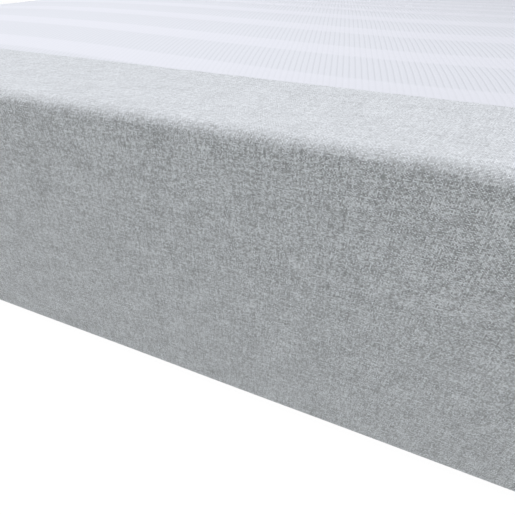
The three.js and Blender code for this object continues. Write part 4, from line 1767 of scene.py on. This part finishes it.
@dataclass
class Core:
    """The thin inner sleeve and the four foam layers inside it."""

    form: Form
    wardrobe: Wardrobe
    sleeve_cloth: float = 1.2 * MM
    seam_z: float = 30 * MM
    groove_outer: float = 19 * MM
    groove_inner: float = 65 * MM
    groove_roof: float = 9.4 * MM
    thicknesses: tuple = (127 * MM, 51 * MM, 38 * MM, 28 * MM)
    layer_rows: int = 8

    @property
    def sleeve_sunk(self) -> float:
        """Depth of the sleeve's outer face below the cover's."""
        return self.form.cloth + self.form.gap

    @property
    def foam_sunk(self) -> float:
        """Depth of the foam's face below the cover's."""
        return self.sleeve_sunk + self.sleeve_cloth + self.form.gap

    def build(self) -> None:
        """Makes the sleeve and the foam."""
        self._sleeve()
        self._foam()

    def _top(self, sunk: float) -> Section:
        """Rows over the top, from its turned edge to the flat middle."""
        form = self.form
        share = np.linspace(0, 1, 15)[1:] ** 1.4
        reach = form.runout_inset + (form.crown_reach - form.runout_inset) * share
        return Section.joined([form.top_arc(sunk, 7), form.crown_rows(reach, sunk)])

    def _groove(self, height: float, grow: float) -> Section:
        """Rows of the underside that stands over the zip."""
        roof = self.groove_roof + height - self.sleeve_sunk
        inner, outer = self.groove_inner + grow, self.groove_outer - grow
        return self.form.level([inner, inner, outer, outer], [height, roof, roof, height])

    @staticmethod
    def _turned(section: Section) -> Section:
        """The same rows in the other order."""
        return section.part(slice(None, None, -1))

    def _sleeve(self) -> None:
        """The sleeve's upper tray and its base."""
        form, stations = self.form, Stations.ring(6, 40)
        skins = []
        for sunk in (self.sleeve_sunk, self.sleeve_sunk + self.sleeve_cloth):
            skins.append(Section.joined([form.level([sunk], [self.seam_z + form.gap]), self._top(sunk)]))
        upper = Section.joined([self._turned(skins[1]), skins[0]])
        top = block("inner_sleeve_top_knit", form, upper, stations)
        skirt = float(skins[0].reach()[-1]) - form.crown_reach
        self._dressed(top, "inner_sleeve_top", "sleeve", "sleeve_knit")
        under = []
        inner = self.sleeve_sunk + self.sleeve_cloth
        for sunk, grow in ((self.sleeve_sunk, 0.0), (inner, self.sleeve_cloth)):
            edge = form.level([sunk], [self.seam_z])
            under.append(Section.joined([self._groove(sunk, grow), form.bottom_arc(sunk, 6), edge]))
        lower = Section.joined([under[0], self._turned(under[1])])
        base = block("inner_sleeve_base_knit", form, lower, stations)
        self._dressed(base, "inner_sleeve_base", "sleeve", "sleeve_knit")

    def _between(self, share: float, lift: float) -> Section:
        """Rows of the surface between two foam layers."""
        form, sunk = self.form, self.foam_sunk
        inset = sunk + (form.crown_reach - sunk) * np.linspace(0, 1, self.layer_rows) ** 1.4
        height = sunk + share * (form.crown(inset) - 2 * sunk) + lift
        return Section(inset, height, form.corner + form.corner_growth * (inset - sunk) - sunk)

    def _foam(self) -> None:
        """The four layers, from the bottom up."""
        form, stations = self.form, Stations.ring(6, 40)
        total, below = sum(self.thicknesses), 0.0
        grow = self.sleeve_cloth + form.gap
        for key, thickness in zip(("base", "transition", "gel", "memory"), self.thicknesses):
            low_share, high_share = below / total, (below + thickness) / total
            below += thickness
            if key == "base":
                rounded = form.bottom_arc(self.foam_sunk, 6)
                low = Section.joined([self._groove(self.foam_sunk, grow), rounded])
            else:
                low = self._turned(self._between(low_share, form.gap / 2))
            high = self._between(high_share, -form.gap / 2)
            if key == "memory":
                high = self._top(self.foam_sunk)
            piece = block(f"foam_{key}_block", form, Section.joined([low, high]), stations)
            finish = "support" if key == "base" else key
            self._dressed(piece, f"foam_{key}_layer", finish, f"{finish}_foam")

    def _dressed(self, piece: bpy.types.Object, node: str, finish: str, part: str) -> None:
        """Dresses a piece and sets it in a CAD node's place."""
        self.wardrobe.fit(piece, finish, part, node)
        LOG.info("%s: %d points", piece.name, len(piece.data.vertices))


# ------------------------------------------------------------------ studio


@dataclass
class Studio:
    """A pale floor, soft light from above and a camera close to the front side."""

    lens: float = 23.07
    shift_up: float = -0.2
    place: tuple = (-441 * MM, -885 * MM, 284 * MM)
    turn: float = math.radians(-17.0)
    tilt: float = math.radians(28.9)
    roll: float = math.radians(1.6)
    floor_size: float = 16.0

    def build(self) -> None:
        """Makes the camera, floor, lights and background."""
        self._camera()
        self._floor()
        self._lights()
        self._background()

    def _camera(self) -> None:
        """A level-headed view along the front side, from just above the top."""
        data = bpy.data.cameras.new("camera")
        data.lens, data.sensor_width, data.shift_y = self.lens, 36.0, self.shift_up
        data.clip_start = 0.01
        camera = linked(bpy.data.objects.new("camera", data))
        ahead = Vector((math.sin(self.turn), math.cos(self.turn), 0))
        right, up = Vector((math.cos(self.turn), -math.sin(self.turn), 0)), Vector((0, 0, 1))
        look = ahead * math.cos(self.tilt) - up * math.sin(self.tilt)
        top = up * math.cos(self.tilt) + ahead * math.sin(self.tilt)
        level = right * math.cos(self.roll) + top * math.sin(self.roll)
        upright = top * math.cos(self.roll) - right * math.sin(self.roll)
        turned = Matrix((level, upright, -look)).transposed()
        camera.matrix_world = Matrix.Translation(self.place) @ turned.to_4x4()
        bpy.context.scene.camera = camera

    def _floor(self) -> None:
        """A plain pale floor that fills the view."""
        half = self.floor_size / 2
        mesh = bpy.data.meshes.new("floor")
        points = [(-half, -half, 0), (half, -half, 0), (half, half, 0), (-half, half, 0)]
        mesh.from_pydata(points, [], [(0, 1, 2, 3)])
        floor = linked(bpy.data.objects.new("floor", mesh))
        material, _, shader = principled("pale_floor", 0.9, Specular_IOR_Level=0.1)
        shader.inputs["Base Color"].default_value = (0.06, 0.06, 0.061, 1)
        shader.inputs["Emission Color"].default_value = (1, 1, 1, 1)
        shader.inputs["Emission Strength"].default_value = 0.97
        mesh.materials.append(material)

    def _lights(self) -> None:
        """One wide soft light overhead."""
        for name, power, size, place, aim in (
            ("overhead", 106.0, 1.6, (-1.3, -0.45, 2.8), (-0.8, -0.45, 0)),
        ):
            data = bpy.data.lights.new(name, "AREA")
            data.energy, data.size, data.color = power, size, (0.99, 0.975, 1.0)
            light = linked(bpy.data.objects.new(name, data))
            light.location = place
            light.rotation_euler = (Vector(place) - Vector(aim)).to_track_quat("Z", "Y").to_euler()

    def _background(self) -> None:
        """White behind the object, and a dim even light from all round."""
        scene = bpy.context.scene
        scene.view_settings.view_transform = "Standard"
        world = bpy.data.worlds.new("studio")
        world.use_nodes = True
        scene.world = world
        graph = Graph(world.node_tree)
        back = next(n for n in world.node_tree.nodes if n.type == "BACKGROUND")
        seen = graph.node("ShaderNodeLightPath").outputs["Is Camera Ray"]
        graph.feed(back.inputs["Strength"], graph.math("ADD", graph.math("MULTIPLY", seen, 0.9), 0.1))
        back.inputs["Color"].default_value = (1, 1, 1, 1)


def main() -> None:
    """Builds the mattress and its studio in order."""
    logging.basicConfig(level=logging.INFO, format="%(name)s: %(message)s")
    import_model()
    form = Form.from_frame()
    wardrobe = Wardrobe(form)
    Studio().build()
    Core(form, wardrobe).build()
    Cover(form, wardrobe, "inner_sleeve_top_knit").build()
    Zip(form, wardrobe).build()
    CareLabel(wardrobe).build()


if __name__ == "__main__":
    main()
